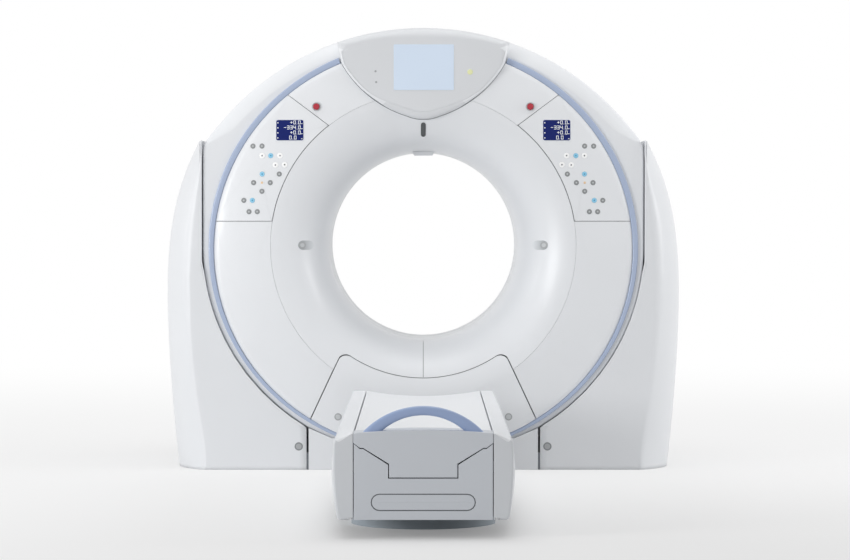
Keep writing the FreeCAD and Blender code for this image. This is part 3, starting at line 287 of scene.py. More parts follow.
clearCoat = {"Coat Weight": 0.15, "Coat Roughness": 0.2}
acrylicCoat = {"Coat Weight": 0.3, "Coat Roughness": 0.1}
gripCoat = {"Coat Weight": 0.2, "Coat Roughness": 0.2}
finish = {
    # sprayed and lacquered covers: near white, with broad soft highlights
    "shell": skinFinish("paintedMouldedFibreglass", "#e6e8eb", 0.36, **clearCoat),
    # painted shade: the stand's covers take the shell's paint made a little darker, for their shadier
    # fronts
    "standShellShade": skinFinish("standCoverPaintedShade", "#e0e2e5", 0.38),
    # painted shade: the shell's paint, darker, for the parts of the shell_shade slot
    "shellShade": skinFinish("shellPaintedShade", "#d9dbde", 0.42),
    "couchShell": skinFinish("mouldedCouchCover", "#d5d8dc", 0.4),
    # painted shade: the couch's end pieces take a darker tone of the couch cover, as they get less light
    "couchEndShade": skinFinish("couchEndPaintedShade", "#cdd1d7", 0.42),
    # moulded console: a shade greyer and duller than the covers round it
    "panel": skinFinish("satinConsolePlastic", "#d8dadd", 0.45),
    # lacquered carbon sheet: pale, even and slightly glossier than the covers
    # its paler colour is also painted light on the couch sides' brim and flange
    "tableTop": skinFinish("carbonTableAndPaintedBrimLight", "#e8eaed", 0.35),
    # blue acrylic and moulded grip: milky blue under a thin clear gloss
    "ring": skinFinish("tintedAcrylicLightGuide", "#a8b6d0", 0.3, 3.0, 0.004, **acrylicCoat),
    "handle": skinFinish("blueMouldedGrip", "#98abd0", 0.35, **gripCoat),
    # flat glass has no grain: deep navy, pale backlit blue and smoked grey with sharp glints
    "navyGlass": skinFinish("darkDisplayGlass", "#0a1d66", 0.2, 6.0, 0.0, **{"Specular IOR Level": 0.2}),
    "paleGlass": skinFinish("backlitScreenGlass", "#d6e4f5", 0.15, 6.0, 0.0),
    "laserGlass": skinFinish("smokedLaserWindow", "#55585a", 0.15, 6.0, 0.0),
    "digit": skinFinish("litDisplayDigits", "#f4f7fb", 0.4, 6.0, 0.0),
    "displayRim": skinFinish("paleDisplayFrame", "#dfe2ea", 0.35),
    # thin polymer ring: milky, and it lets a little light through
    "window": skinFinish("frostedPolymerRing", "#eceff1", 0.3, 6.0, 0.0, **{"Transmission Weight": 0.15}),
    # silicone keys and what is printed on them: soft and dull
    "keyGrey": skinFinish("greySiliconeKey", "#8c8f90", 0.5),
    "keyWhite": skinFinish("whiteSiliconeKey", "#fcfcfc", 0.5),
    "keyBlue": skinFinish("cyanSiliconeKey", "#8ecbe8", 0.5),
    # painted shade round the keys' edges, where they meet the face
    "keyEdgeShade": skinFinish("keyEdgePaintedShade", "#75797b", 0.5),
    "keySymbolPale": skinFinish("printedPaleSymbol", "#c3c6c8", 0.5),
    "keySymbolDark": skinFinish("printedGreySymbol", "#63666a", 0.5),
    "keySymbolBlue": skinFinish("printedBlueSymbol", "#4f96bd", 0.5),
    # small lenses and the stop buttons: clear colours with small bright glints
    "indicator": skinFinish("orangeIndicatorLens", "#e9c9a0", 0.3),
    "lamp": skinFinish("diffusedLampLens", "#e6e8b4", 0.3),
    "stopRed": skinFinish("glossRedPlastic", "#b22a3a", 0.2),
    # small grey plastic parts, and the painted shade of seams and caps' edges: plain and matte
    "capGrey": skinFinish("greyCapPlastic", "#a6a8aa", 0.4),
    "capRim": skinFinish("capEdgeShade", "#85888a", 0.5),
    # painted shade: dark grey for the gap round the console and the groove round the couch's end plate
    "seamShade": skinFinish("paintedSeamShade", "#777b7f", 0.6),
    "dotBlack": skinFinish("perforatedGrille", "#2e3032", 0.6),
    # painted and powder coated steel: dull, with a slightly pebbled coat
    "darkBase": skinFinish("darkBasePaint", "#a0aab2", 0.5),
    "steel": skinFinish("powderCoatedSteel", "#8b9096", 0.5, 1.0, 0.03),
    # bare metal inside: bright turned steel, and duller cast aluminium
    "machined": skinFinish("machinedSteel", "#b8bcc0", 0.3, 2.0, 0.01, **{"Metallic": 1.0}),
    "cast": skinFinish("castAluminium", "#a9adb0", 0.45, 2.0, 0.05, **{"Metallic": 0.8}),
}
slotFinish = {
    "shell": "shell", "shell_shade": "shellShade", "panel": "panel", "light_guide": "ring",
    "clear_window": "window", "dark_display": "navyGlass", "pale_screen": "paleGlass",
    "key_rubber": "keyGrey", "stop_red": "stopRed", "lamp_lens": "lamp", "laser_glass": "laserGlass",
    "cap_grey": "capGrey", "handle_blue": "handle", "frame_paint": "steel", "machined_steel": "machined",
    "rotor_cast": "cast", "ring_tracks": "machined", "lift_paint": "steel",
}
for entry in frame["record"]["subparts"]:
    mesh = frame["nodes"][entry["node"]].data
    mesh.materials.clear()
    mesh.materials.append(finish[slotFinish[entry["material_slot"]]])


def smoothByAngle(degrees):
    # welds a CAD mesh's loose triangles and shades smooth where faces meet under the given angle
    group = bpy.data.node_groups.new("weldAndSmooth", "GeometryNodeTree")
    group.interface.new_socket("Geometry", in_out="INPUT", socket_type="NodeSocketGeometry")
    group.interface.new_socket("Geometry", in_out="OUTPUT", socket_type="NodeSocketGeometry")
    start = addNode(group, "NodeGroupInput")
    merged = addNode(group, "GeometryNodeMergeByDistance", {"Distance": 0.00001},
                     {"Geometry": start.outputs[0]})
    angle = addNode(group, "GeometryNodeInputMeshEdgeAngle")
    gentle = addNode(group, "FunctionNodeCompare", {"data_type": "FLOAT", "operation": "LESS_THAN",
                                                    1: math.radians(degrees)}, {0: angle.outputs[0]})
    faces = addNode(group, "GeometryNodeSetShadeSmooth", {"domain": "FACE"},
                    {"Geometry": merged.outputs[0]})
    edges = addNode(group, "GeometryNodeSetShadeSmooth", {"domain": "EDGE"},
                    {"Geometry": faces.outputs[0], "Shade Smooth": gentle.outputs[0]})
    addNode(group, "NodeGroupOutput", None, {0: edges.outputs[0]})
    return group


smoothGroup = smoothByAngle(30)
for node in frame["nodes"].values():
    node.modifiers.new("smooth", "NODES").node_group = smoothGroup
print("materials made:", len(finish))

# depth of the middle of the torus that flares the bore, so that its surface meets the crease
trumpetReach = gantry["boreRadius"] + gantry["trumpetRadius"] - gantry["creaseRadius"]
trumpetMiddle = gantry["faceDepth"] - math.sqrt(gantry["trumpetRadius"] ** 2 - trumpetReach ** 2)


def faceFront(x, z):
    # Depth of the gantry's front at a point of it. Inside the crease circle a quarter of a torus,
    # y = -(m + sqrt(R^2 - (R + b - r)^2)); outside it an arc of radius A through the crease and the rim.
    r = np.hypot(x, z)
    across = np.clip(gantry["boreRadius"] + gantry["trumpetRadius"] - r, 0, gantry["trumpetRadius"])
    inside = -(trumpetMiddle + np.sqrt(gantry["trumpetRadius"] ** 2 - across ** 2))
    near = np.array([gantry["creaseRadius"], -gantry["faceDepth"]], float)
    far = np.array([gantry["bodyHalfWidth"], -gantry["bodyHalfDepth"]], float)
    half = (far - near) / 2
    toCentre = np.array([-half[1], half[0]]) / np.linalg.norm(half)
    centre = near + half + toCentre * math.sqrt(gantry["faceArc"] ** 2 - half @ half)
    outside = centre[1] - np.sqrt(gantry["faceArc"] ** 2 - (r - centre[0]) ** 2)
    return np.where(r < gantry["creaseRadius"], inside, outside)


def overFace(rise):
    # a front that stands over the face by a rise
    return lambda x, z: faceFront(x, z) - rise


def ovalCross(angle, wide, high, drop):
    # distance from the axis to an oval of half sizes A and B that hangs lower by the drop:
    # (r sin a / A)^2 + ((r cos a + drop) / B)^2 = 1, solved for r
    square = (np.sin(angle) / wide) ** 2 + (np.cos(angle) / high) ** 2
    linear = drop * np.cos(angle) / high ** 2
    return (-linear + np.sqrt(linear ** 2 - square * ((drop / high) ** 2 - 1))) / square


def ovalRadius(angle, margin, trim=None):
    # the light ring's outer oval, drawn in by a margin, and never lower than the trim
    r = ovalCross(angle, gantry["ovalWidth"] - margin, gantry["ovalHeight"] - margin, gantry["ovalDrop"])
    if trim:
        r = np.where(np.cos(angle) < -0.1, np.minimum(r, trim / np.maximum(-np.cos(angle), 0.1)), r)
    return r


def edgeAngle(first, last, margin=0.0):
    # a straight edge through two points as angle over radius: a0 +- acos(c / r), where c is its
    # distance from the axis and a0 the direction of its normal. The margin moves it sideways.
    first, last = np.array(first, float), np.array(last, float)
    along = (last - first) / np.linalg.norm(last - first)
    normal = np.array([along[1], -along[0]])
    c = normal @ first + margin
    start = math.atan2(first[0], first[1])
    away = (start - math.atan2(normal[0], normal[1]) + np.pi) % (2 * np.pi) - np.pi
    return lambda radius: start - away + np.sign(away) * np.arccos(c / radius)


def along(angleOf, inner, outer):
    # the straight edge between two radii, as (x, z)
    radii = np.linspace(inner, outer, 14)
    return np.stack([radii * np.sin(angleOf(radii)), radii * np.cos(angleOf(radii))], 1)


def reachOf(angleOf, outerRadius):
    # radius at which an edge meets the outer curve, by repeating r = outer(angle(r))
    r = 850.0
    for _ in range(8):
        r = float(outerRadius(np.array(angleOf(r))))
    return r


def sector(innerRadius, outerRadius, firstEdge, lastEdge):
    # outline between two radii, which may vary with the angle, and two straight edges
    low = [float(innerRadius(np.array(edge(innerRadius(0.0))))) for edge in (firstEdge, lastEdge)]
    high = [reachOf(edge, outerRadius) for edge in (firstEdge, lastEdge)]
    spread = (1 + np.sin(np.linspace(-np.pi / 2, np.pi / 2, 90))) / 2  # closer near the corners
    inner = firstEdge(low[0]) + (lastEdge(low[1]) - firstEdge(low[0])) * spread
    outer = lastEdge(high[1]) + (firstEdge(high[0]) - lastEdge(high[1])) * spread
    return joinRuns(
        flat(np.column_stack([innerRadius(inner) + 0 * inner, inner])),
        along(lastEdge, low[1], high[1]),
        flat(np.column_stack([outerRadius(outer), outer])),
        along(firstEdge, high[0], low[0]))


# front cover and its inlays
face = {
    "rimRoll": 24, "rimDrop": 7, "rimGap": 0.2, "ringNarrows": 10, "creaseGap": 0.4, "seamGap": 2,
    "trim": 782, "wall": 8, "edge": 1.2,
    "panelTip": (385, 492.3), "panelCorner": (597, 651.3), "panelFoot": 100,
    "serviceShoulder": (346, -457), "serviceFoot": (495, -775),
    "serviceArch": 538, "serviceRound": 34, "serviceGap": 2.2, "serviceSideGap": 4.4,
}
upperEdge = edgeAngle(face["panelTip"], face["panelCorner"])
upperEdgePanel = edgeAngle(face["panelTip"], face["panelCorner"], face["seamGap"])
footEdge = edgeAngle((1000, face["panelFoot"]), (500, face["panelFoot"]))
footEdgePanel = edgeAngle((1000, face["panelFoot"] + face["seamGap"]),
                          (500, face["panelFoot"] + face["seamGap"]))
serviceEdge = edgeAngle(face["serviceShoulder"], face["serviceFoot"])
servicePanelEdge = edgeAngle(*(np.array(face[key]) - [face["serviceSideGap"], 0]
                               for key in ("serviceShoulder", "serviceFoot")))


def ringWidth(angle):
    # the light ring's width: full above, and less by n u^2 (3 - 2 u) towards the bottom
    fromTop = np.abs((angle + np.pi) % (2 * np.pi) - np.pi)
    return gantry["ringBand"] - face["ringNarrows"] * ease((fromTop - 1.0) / 1.5)


def coverOuter(angle):
    # the cover's rim, inside the light ring
    return ovalRadius(angle, ringWidth(angle) + face["rimGap"], face["trim"])


def creaseInner(angle):
    # inner edge of the plates, along the crease
    return gantry["creaseRadius"] + face["creaseGap"] + 0 * angle


def panelInner(angle):
    # inner edge of the control panels, a seam away from the crease
    return creaseInner(angle) + face["seamGap"]


def rolledFront(x, z):
    # The face, turned back at its rim beside the light ring: depth + h (d / w)^2, where d is how far a
    # point has come into the last w millimetres. The trimmed bottom stays unrolled.
    angle = np.arctan2(x, z)
    past = np.clip(np.hypot(x, z) - coverOuter(angle) + face["rimRoll"], 0, face["rimRoll"])
    past = np.where(np.cos(angle) < -0.86, 0, past)
    return faceFront(x, z) + face["rimDrop"] * (past / face["rimRoll"]) ** 2


def faceSector(inner, outer, firstEdge, lastEdge, steps=26):
    # one plate of the cover, on the rolled face
    outline = sector(inner, outer, firstEdge, lastEdge)
    return plate(outline, rolledFront, face["edge"], face["wall"], bent=True, steps=steps)


topPlate = faceSector(creaseInner, coverOuter, lambda r: -upperEdge(r), upperEdge)
sidePlate = faceSector(creaseInner, coverOuter, footEdge, serviceEdge)
panelPlate = faceSector(panelInner, coverOuter, upperEdgePanel, footEdgePanel)
makePiece("faceCover", [topPlate, sidePlate, mirrored(sidePlate)], "tilting_gantry", finish["shell"],
          ["front_cover"])
for name, grid in (("Left", mirrored(panelPlate)), ("Right", panelPlate)):
    makePiece(f"controlPanel{name}", [grid], "tilting_gantry", finish["shell"],
              [f"control_panel_{name.lower()}"])


def archRadius(angle, radius, reach):
    # the arch of the service panel, with round shoulders past its reach: r + R - sqrt(R^2 - d^2)
    shoulder = face["serviceRound"]
    past = np.abs((angle % (2 * np.pi)) - np.pi) - reach
    away = np.clip(past * radius + shoulder, 0, shoulder * 0.999)
    return radius + shoulder - np.sqrt(shoulder ** 2 - away ** 2)


servicePanelArch = face["serviceArch"] + face["serviceGap"]
serviceReach = np.pi - float(servicePanelEdge(servicePanelArch + face["serviceRound"]))


def serviceInner(angle):
    # the service panel's arched upper edge
    return archRadius(angle, servicePanelArch, serviceReach)


servicePlate = faceSector(serviceInner, coverOuter, servicePanelEdge,
                          lambda r: 2 * np.pi - servicePanelEdge(r), 30)
makePiece("servicePanel", [servicePlate], "tilting_gantry", finish["shell"], ["service_panel"])
print("face plates made")

# funnels, scan window and rear cover
funnel = {
    "tubeEnd": 62, "tubeLength": 145.5, "wall": 8, "rimGap": 0.2, "rimRound": 1.6, "count": 160,
    "beadHalfWidth": 2.0, "beadRise": 0.2,
}
scanWindow = {"radius": 390.2, "wall": 2.6, "halfWidth": 61.7}


def bothWays(half):
    # an even or odd function of the angle, continued to the other side without its two end points
    return np.concatenate([half[0], half[1] * half[0][-2:0:-1]])


def funnelRim():
    # outer edge of the front funnel as (radius, angle), once round from the lowest point: the arch
    # of the service panel, its round shoulder, the straight side and the crease circle. The third
    # array is the angle at the bore from which each point's row runs out.
    reach = np.pi - float(serviceEdge(face["serviceArch"] + face["serviceRound"]))
    half = np.sin(np.linspace(0, np.pi / 2, 60))
    arch = np.pi - reach * half
    archR = archRadius(arch, face["serviceArch"], reach)
    sideR = np.linspace(archR[-1], gantry["creaseRadius"], 8)[1:]
    crease = np.linspace(float(serviceEdge(gantry["creaseRadius"])), 0, 90)[1:]
    r = np.concatenate([archR, sideR, np.full(89, gantry["creaseRadius"])])
    a = np.concatenate([arch, serviceEdge(sideR), crease])
    base = np.concatenate([np.pi - (reach + 0.02) * half,
                           np.linspace(np.pi - reach - 0.03, np.pi - reach - 0.12, 7),
                           np.linspace(np.pi - reach - 0.14, 0, 89)])
    return bothWays((r, 1)), bothWays((a, -1)), bothWays((base, -1))


def funnelGrid(rimR, rimA, baseA):
    # Rows run down the tube's wall, round the flare and over the rim, then back behind. A row s of the
    # flare is at radius b + s (rim - b) and angle base + s (rim angle - base angle), on the face.
    bore, wall, tubeEnd = gantry["boreRadius"], funnel["wall"], funnel["tubeEnd"]
    rimStart = rimR - funnel["rimGap"] - funnel["rimRound"]

    def flare(start, s, drop):
        # one row of the flare, at a depth below the face
        return roundAxis(start + s * (rimStart - start), baseA + s * (rimA - baseA), overFace(-drop))

    share = 1 - np.cos(np.linspace(0, np.pi / 2, 30))
    rows = [roundAxis(bore, baseA, -tubeEnd - funnel["tubeLength"] * t) for t in np.linspace(0, 1, 6)]
    rows += [flare(bore, s, 0.0) for s in share]
    for back, down in ((0.8, 0.0), (0.3, 0.3), (0.0, 0.8), (0.0, wall)):
        rows.append(roundAxis(rimR - back - funnel["rimGap"], rimA, overFace(-down)))
    rows += [flare(bore + wall, s, wall) for s in share[::-2]]
    rows += [roundAxis(bore + wall, baseA, y) for y in (-tubeEnd - 100, -tubeEnd)]
    return np.stack(rows), True, True


frontFunnel = funnelGrid(*funnelRim())
makePiece("frontFunnel", [frontFunnel], "tilting_gantry", finish["shell"], ["front_funnel"], 25)
roundAngle = np.linspace(0, 2 * np.pi, funnel["count"], endpoint=False)
rearFunnel = funnelGrid(np.full(funnel["count"], gantry["creaseRadius"]), roundAngle, roundAngle)
rearFunnel = (rearFunnel[0] * [1, -1, 1],) + rearFunnel[1:]
makePiece("rearFunnel", [rearFunnel], "tilting_gantry", finish["shell"], ["rear_funnel"], 25)


def splitShadeLine():
    # the joint of the funnel's halves at its lowest line: a flat grey bead up the flare, on the face's
    # surface, which paints the joint's shade
    r = np.linspace(gantry["boreRadius"] + 0.5, face["serviceArch"] - 2, 50)
    half, rise = funnel["beadHalfWidth"], funnel["beadRise"]
    rows = []
    for x, up in ((-half, rise - 0.8), (0.4 - half, rise), (half - 0.4, rise), (half, rise - 0.8)):
        rows.append(np.column_stack([np.full(50, x), faceFront(0 * r, -r) - up, axisHeight - r]))
    return pointedEnds(np.stack(rows)), True, False


# painted shade: the funnel's joint drawn as a grey line
makePiece("funnelSplitShade", [splitShadeLine()], "tilting_gantry", finish["capGrey"])


def ringGrid(section):
    # a closed section of (radius, depth) points carried round the axis: (r sin a, y, r cos a)
    return np.stack([roundAxis(r, roundAngle, y) for r, y in section]), True, True


def windowSection():
    # the scan window's thin rectangular section, front to rear outside and back inside
    near, far = scanWindow["radius"], scanWindow["radius"] + scanWindow["wall"]
    half = scanWindow["halfWidth"]
    return [(near, -half), (near, half), (far, half), (far, -half)]


makePiece("scanWindow", [ringGrid(windowSection())], "tilting_gantry", finish["window"],
          ["scan_window"])


def rearCoverGrid():
    # the rear cover: a ring between the crease circle and the oval. Its section is a list of
    # (share of the way out, drop from the face): inner edge, flat, rolled rim and back.
    angle = np.linspace(0, 2 * np.pi, 240, endpoint=False)
    inner = creaseInner(0.0)
    outer = ovalRadius(angle, gantry["ringBand"] + 1, face["trim"])
    section = [(0, 8), (0, 1.5), (0.0016, 0.45), (0.006, 0)]
    section += [(share, 0) for share in np.linspace(0.02, 0.93, 14)]
    section += [(0.95, 0.4), (0.97, 1.6), (0.985, 3.6), (0.996, 6.4), (1, 9.5), (1, 12), (0.5, 8)]
    rows = [roundAxis(inner + share * (outer - inner), angle, lambda x, z: -(faceFront(x, z) + drop))
            for share, drop in section]
    return np.stack(rows), True, True


makePiece("rearCover", [rearCoverGrid()], "tilting_gantry", finish["shell"], ["rear_cover"], 40)
print("funnels made")

# casing: hood, upright sides and bowl in one band
casing = {
    "hoodRadius": 1083, "hoodDrop": 190, "hoodShoulder": 62, "bowlShoulder": 7, "cornerBlend": 7,
    "shoulderFrom": 390, "shoulderRun": 140, "shoulderAngle": 62, "bowlHeight": 862, "wall": 8,
    "opening": 24, "openingLift": 6.0, "lip": 1.5, "count": 420,
    "bandRows": (-260.0, -130.0, 0.0, 130.0, 260.0), "insideRows": (200.0, 0.0, -200.0),
}


def casingOutline(angle):
    # Distance from the axis to the silhouette: above, the nearer of hood circle and upright side,
    # joined by a soft minimum, w - k ln(sum e^(-(r - w) / k)), and the bowl's half oval below.
    sine, cosine = np.sin(angle), np.cos(angle)
    drop, blend = casing["hoodDrop"], casing["cornerBlend"]
    hood = -drop * cosine + np.sqrt(casing["hoodRadius"] ** 2 - (drop * sine) ** 2)
    upright = gantry["bodyHalfWidth"] / np.maximum(np.abs(sine), 1e-3)
    wide, farAway = gantry["bodyHalfWidth"], 3000
    near = sum(np.exp(-(np.minimum(r, farAway) - wide) / blend) for r in (hood, upright))
    top = wide - blend * np.log(near)
    bowl = ovalCross(angle, wide, casing["bowlHeight"], gantry["ovalDrop"])
    return np.where(np.minimum(hood, upright) * cosine > -gantry["ovalDrop"], top, bowl)


def casingGrid():
    # Rows go round a closed C section: front lip, shoulder, band, rear shoulder and lip, then back
    # inside. The shoulder is a circle's arc up to its steepest angle T, R (1 - cos t) / (1 - cos T) in
    # and R (1 - sin t / sin T) back. Points near the floor rise to the circle that clears it in a
    # tilt, z >= -sqrt(R^2 - y^2).
    angle = -np.linspace(0, 2 * np.pi, casing["count"], endpoint=False)
    loop = flat(np.column_stack([casingOutline(angle), angle]))
    opening = flat(np.column_stack([ovalRadius(angle, casing["opening"]), angle]))
    high = ease((loop[:, 1] - casing["shoulderFrom"]) / casing["shoulderRun"])
    radius = casing["bowlShoulder"] + (casing["hoodShoulder"] - casing["bowlShoulder"]) * high
    depth, wall, lip = gantry["bodyHalfDepth"], casing["wall"], casing["lip"]
    shoulderStart = inset(loop, radius[:, None] + lip)
    outerHalf = [(opening, wall), (opening, lip), (opening + (loop - opening) * 0.03, 0)]
    outerHalf += [(opening + (shoulderStart - opening) * s, 0) for s in (0.35, 0.7, 1.0)]
    steepest = math.radians(casing["shoulderAngle"])
    for t in np.linspace(steepest, 0, 9):
        outerHalf.append((inset(loop, radius[:, None] * (1 - np.cos(t)) / (1 - math.cos(steepest))),
                          radius * (1 - np.sin(t) / math.sin(steepest))))
    rows = [(row, drop - depth, 0.0) for row, drop in outerHalf]
    rows += [(loop, y, 0.0) for y in casing["bandRows"]]
    rows += [(row, depth - drop, 0.0) for row, drop in outerHalf[::-1]]
    inner = inset(loop, wall)
    drawnIn = inset(inner, radius[:, None] * 0.7)
    rows += [(drawnIn, depth - wall, wall)] + [(inner, y, wall) for y in casing["insideRows"]]
    rows.append((drawnIn, wall - depth, wall))
    points = []
    for row, y, inside in rows:
        lowest = -np.sqrt((gantry["sweepRadius"] - inside) ** 2 - y ** 2)
        lift = casing["openingLift"] if row is opening else 0.0
        raised = np.column_stack([row[:, 0], np.maximum(row[:, 1], lowest + lift)])
        points.append(atDepth(raised, y))
    return np.stack(points), True, True


makePiece("gantryCasing", [casingGrid()], "tilting_gantry", finish["shell"], ["hood_casing"], 40)


lightRing = {
    "from": 24.4, "to": 156.6, "count": 150,
    "section": [(0.0, 0.0), (0.0, 6.0), (0.6, 9.2), (2.4, 11.2), (6, 11.9), (12.5, 12.0),
                (19, 11.9), (22.6, 11.2), (24.4, 9.2), (25.0, 6.0), (25.0, 0.0)],
}


def lightRingGrid():
    # the blue light guide's right half: a low crowned section of (across, rise) points carried along
    # the oval between two angles in degrees, narrower where the ring is, with pointed ends
    angle = np.linspace(np.radians(lightRing["from"]), np.radians(lightRing["to"]), lightRing["count"])
    rows = [roundAxis(ovalRadius(angle, across * ringWidth(angle) / gantry["ringBand"]), angle,
                      -gantry["bodyHalfDepth"] - rise) for across, rise in lightRing["section"]]
    return pointedEnds(np.stack(rows)), True, False


ringHalf = lightRingGrid()
makePiece("lightRing", [ringHalf, mirrored(ringHalf)], "tilting_gantry", finish["ring"],
          ["light_ring"], 50)
print("casing made")

# console over the bore
console = {
    "front": -480, "back": -425, "arc": 1088, "drop": 200, "flankRadius": 454, "tipRadius": 170,
    "topHalf": 352, "shoulder": (333, 745), "tip": (66, 530), "middle": (0, 700),
    "archedFrom": 790, "archedRun": 34, "tipFrom": 640, "tipRun": 110,
    "border": (11, 33, 15), "borderDepth": (20, 24), "borderUnder": 40.0, "crown": 0.3,
    "groove": (1.0, 1.6, 3.4, 4.0), "grooveDepth": 1.6,
    "seatSink": 3, "seatDeepest": 60, "seatRim": 830, "seatAtRim": 1.0,
    "seamShade": ((-8.0, -2.0), (-8.0, 0.5), (2.6, 0.5), (2.6, -2.0)), "seamShadeTuck": 12,
    "seamShadeTuckFrom": 815, "seamShadeTuckRun": 15, "seamShadeBehind": 4,
    "screen": (2, 634, 244, 185), "screenFront": -481.6, "lamp": (190, 707), "lampRadius": 11,
    "marks": ((-194, 710), (-191.5, 666)), "markRadius": 4.5,
}


def arcBetween(first, last, radius, step=9.0):
    # arc of a given radius between two points, bulging right of the way from first to last
    first, last = np.array(first, float), np.array(last, float)
    half = (last - first) / 2
    right = np.array([half[1], -half[0]]) / np.linalg.norm(half)
    centre = first + half - right * math.sqrt(radius ** 2 - half @ half)
    a, b = (math.atan2(*(p - centre)[::-1]) for p in (first, last))
    while b < a:
        b += 2 * math.pi
    angle = np.linspace(a, b, max(3, int((b - a) * radius / step)))
    return centre + radius * np.stack([np.cos(angle), np.sin(angle)], 1)


def consoleLoop():
    # shield: arched top, flanks that draw in, round tip
    topHalf, (tipX, tipZ), (outX, outZ) = console["topHalf"], console["tip"], console["shoulder"]
    top = math.sqrt(console["arc"] ** 2 - topHalf ** 2) - console["drop"]
    return joinRuns(
        arcBetween((-tipX, tipZ), (tipX, tipZ), console["tipRadius"]),
        arcBetween((tipX, tipZ), (outX, outZ), console["flankRadius"]),
        straight((outX, outZ), (topHalf, top)),
        arcBetween((topHalf, top), (-topHalf, top), console["arc"]),
        straight((-topHalf, top), (-outX, outZ)),
        arcBetween((-outX, outZ), (-tipX, tipZ), console["flankRadius"]))


def consoleRays(loop):
    # each point's way out from the console's middle, and its distance from there
    away = loop - console["middle"]
    length = np.linalg.norm(away, axis=1)
    return away / length[:, None], length


def consoleGrids():
    # Each row is the outline drawn in along rays from the middle, p - w (p - c) / |p - c|, which never
    # folds. The rounded border is a quarter ellipse, w (1 - cos t) in and h (1 - sin t) back: wide and
    # deep along the arched top, where it follows the hood, narrow on the flanks and wider at the tip.
    # A fine groove parts it from the panel, except at the top, and the panel is a little crowned.
    loop = consoleLoop()
    ray, length = consoleRays(loop)
    high = ease((loop[:, 1] - console["archedFrom"]) / console["archedRun"])
    low = ease((console["tipFrom"] - loop[:, 1]) / console["tipRun"])
    width = np.stack([np.ones(len(loop)), high, low], 1) @ console["border"]
    depth = console["borderDepth"][0] + console["borderDepth"][1] * high
    front, back = console["front"], console["back"]
    seat = faceFront(loop[:, 0], loop[:, 1]) + console["seatSink"]
    seat = np.maximum(seat, back - console["seatDeepest"])
    pastRim = np.hypot(loop[:, 0], loop[:, 1]) > console["seatRim"]
    seat = np.where(pastRim, back - console["seatAtRim"], seat)
    seat = np.maximum(seat, front + depth)

    def row(inwards, y):
        # the outline, drawn in along its rays, at one depth
        return atDepth(loop - ray * np.asarray(inwards)[..., None], y)

    border = [row(console["borderUnder"] + 0 * width, seat), row(0 * width, seat)]
    for t in np.radians(np.linspace(0, 90, 12)):
        border.append(row(width * (1 - np.cos(t)), front + depth * (1 - np.sin(t))))
    groove, crown = console["grooveDepth"] * (1 - high), console["crown"] * (1 - high)
    upper, lower, lowerEnd, upperEnd = console["groove"]
    panel = [row(width + upper, front), row(width + lower, front + groove),
             row(width + lowerEnd, front + groove), row(width + upperEnd, front + crown)]
    inner = length - width - upperEnd
    panel += [row(width + upperEnd + inner * share, front + crown * (1 - share))
              for share in np.linspace(0.04, 1, 10)]
    shellLike = ((high > 0.5) | (low > 0.6))[None, :].repeat(len(border), 0).astype(int)
    return [(np.stack(border), False, True, shellLike), (np.stack([border[-1]] + panel), False, True, 1)]


shield = consoleGrids()
makePiece("topConsole", shield, "tilting_gantry", [finish["shell"], finish["panel"]],
          ["console_housing"], 50, [shield[0][0][0]])


def frameLoop(x, z, width, height, corner):
    # rectangle with round corners, from its lower middle point
    across, up = width / 2 - corner, height - corner
    corners = ((across, up), (across, corner), (-across, corner), (-across, up))
    return joinRuns(*(turn((x + dx, z + dz), corner, 90 * i, 90 * i + 90, 22.5)
                      for i, (dx, dz) in enumerate(corners)))


def level(depth):
    # a flat front at one depth, for any (x, z)
    return lambda x, z: depth + 0 * x


def seamShadeGrid():
    # A thin dark grey line round the console where it meets the cover, which paints the shade of the gap
    # there: four (out, rise) points of a flat section at each place of the outline, tucked under the
    # console beyond the cover's rim.
    loop = consoleLoop()
    ray, _ = consoleRays(loop)
    past = np.hypot(loop[:, 0], loop[:, 1]) - console["seamShadeTuckFrom"]
    hidden = np.clip(past / console["seamShadeTuckRun"], 0, 1)[:, None]
    foremost = console["front"] + console["seamShadeBehind"]
    rows = []
    for out, rise in console["seamShade"]:
        row = loop + ray * (out - console["seamShadeTuck"] * hidden)
        rows.append(atDepth(row, np.maximum(faceFront(row[:, 0], row[:, 1]) - rise, foremost)))
    return np.stack(rows), True, True


makePiece("consoleSeamShade", [seamShadeGrid()], "tilting_gantry", finish["seamShade"])
screen = plate(frameLoop(*console["screen"], corner=3), level(console["screenFront"]), edge=0.8, wall=3.5,
               steps=4)
makePiece("consoleScreen", [screen], "tilting_gantry", finish["paleGlass"],
          ["console_screen"])
onConsole = level(float(console["front"]))
makePiece("statusLamp", [dome(*console["lamp"], onConsole, console["lampRadius"], 2.6)], "tilting_gantry",
          finish["lamp"], ["status_lamp"])
marks = [dome(x, z, onConsole, console["markRadius"], 0.5, 0.6, 16) for x, z in console["marks"]]
makePiece("consoleMarks", marks, "tilting_gantry", finish["capGrey"])
print("console made")

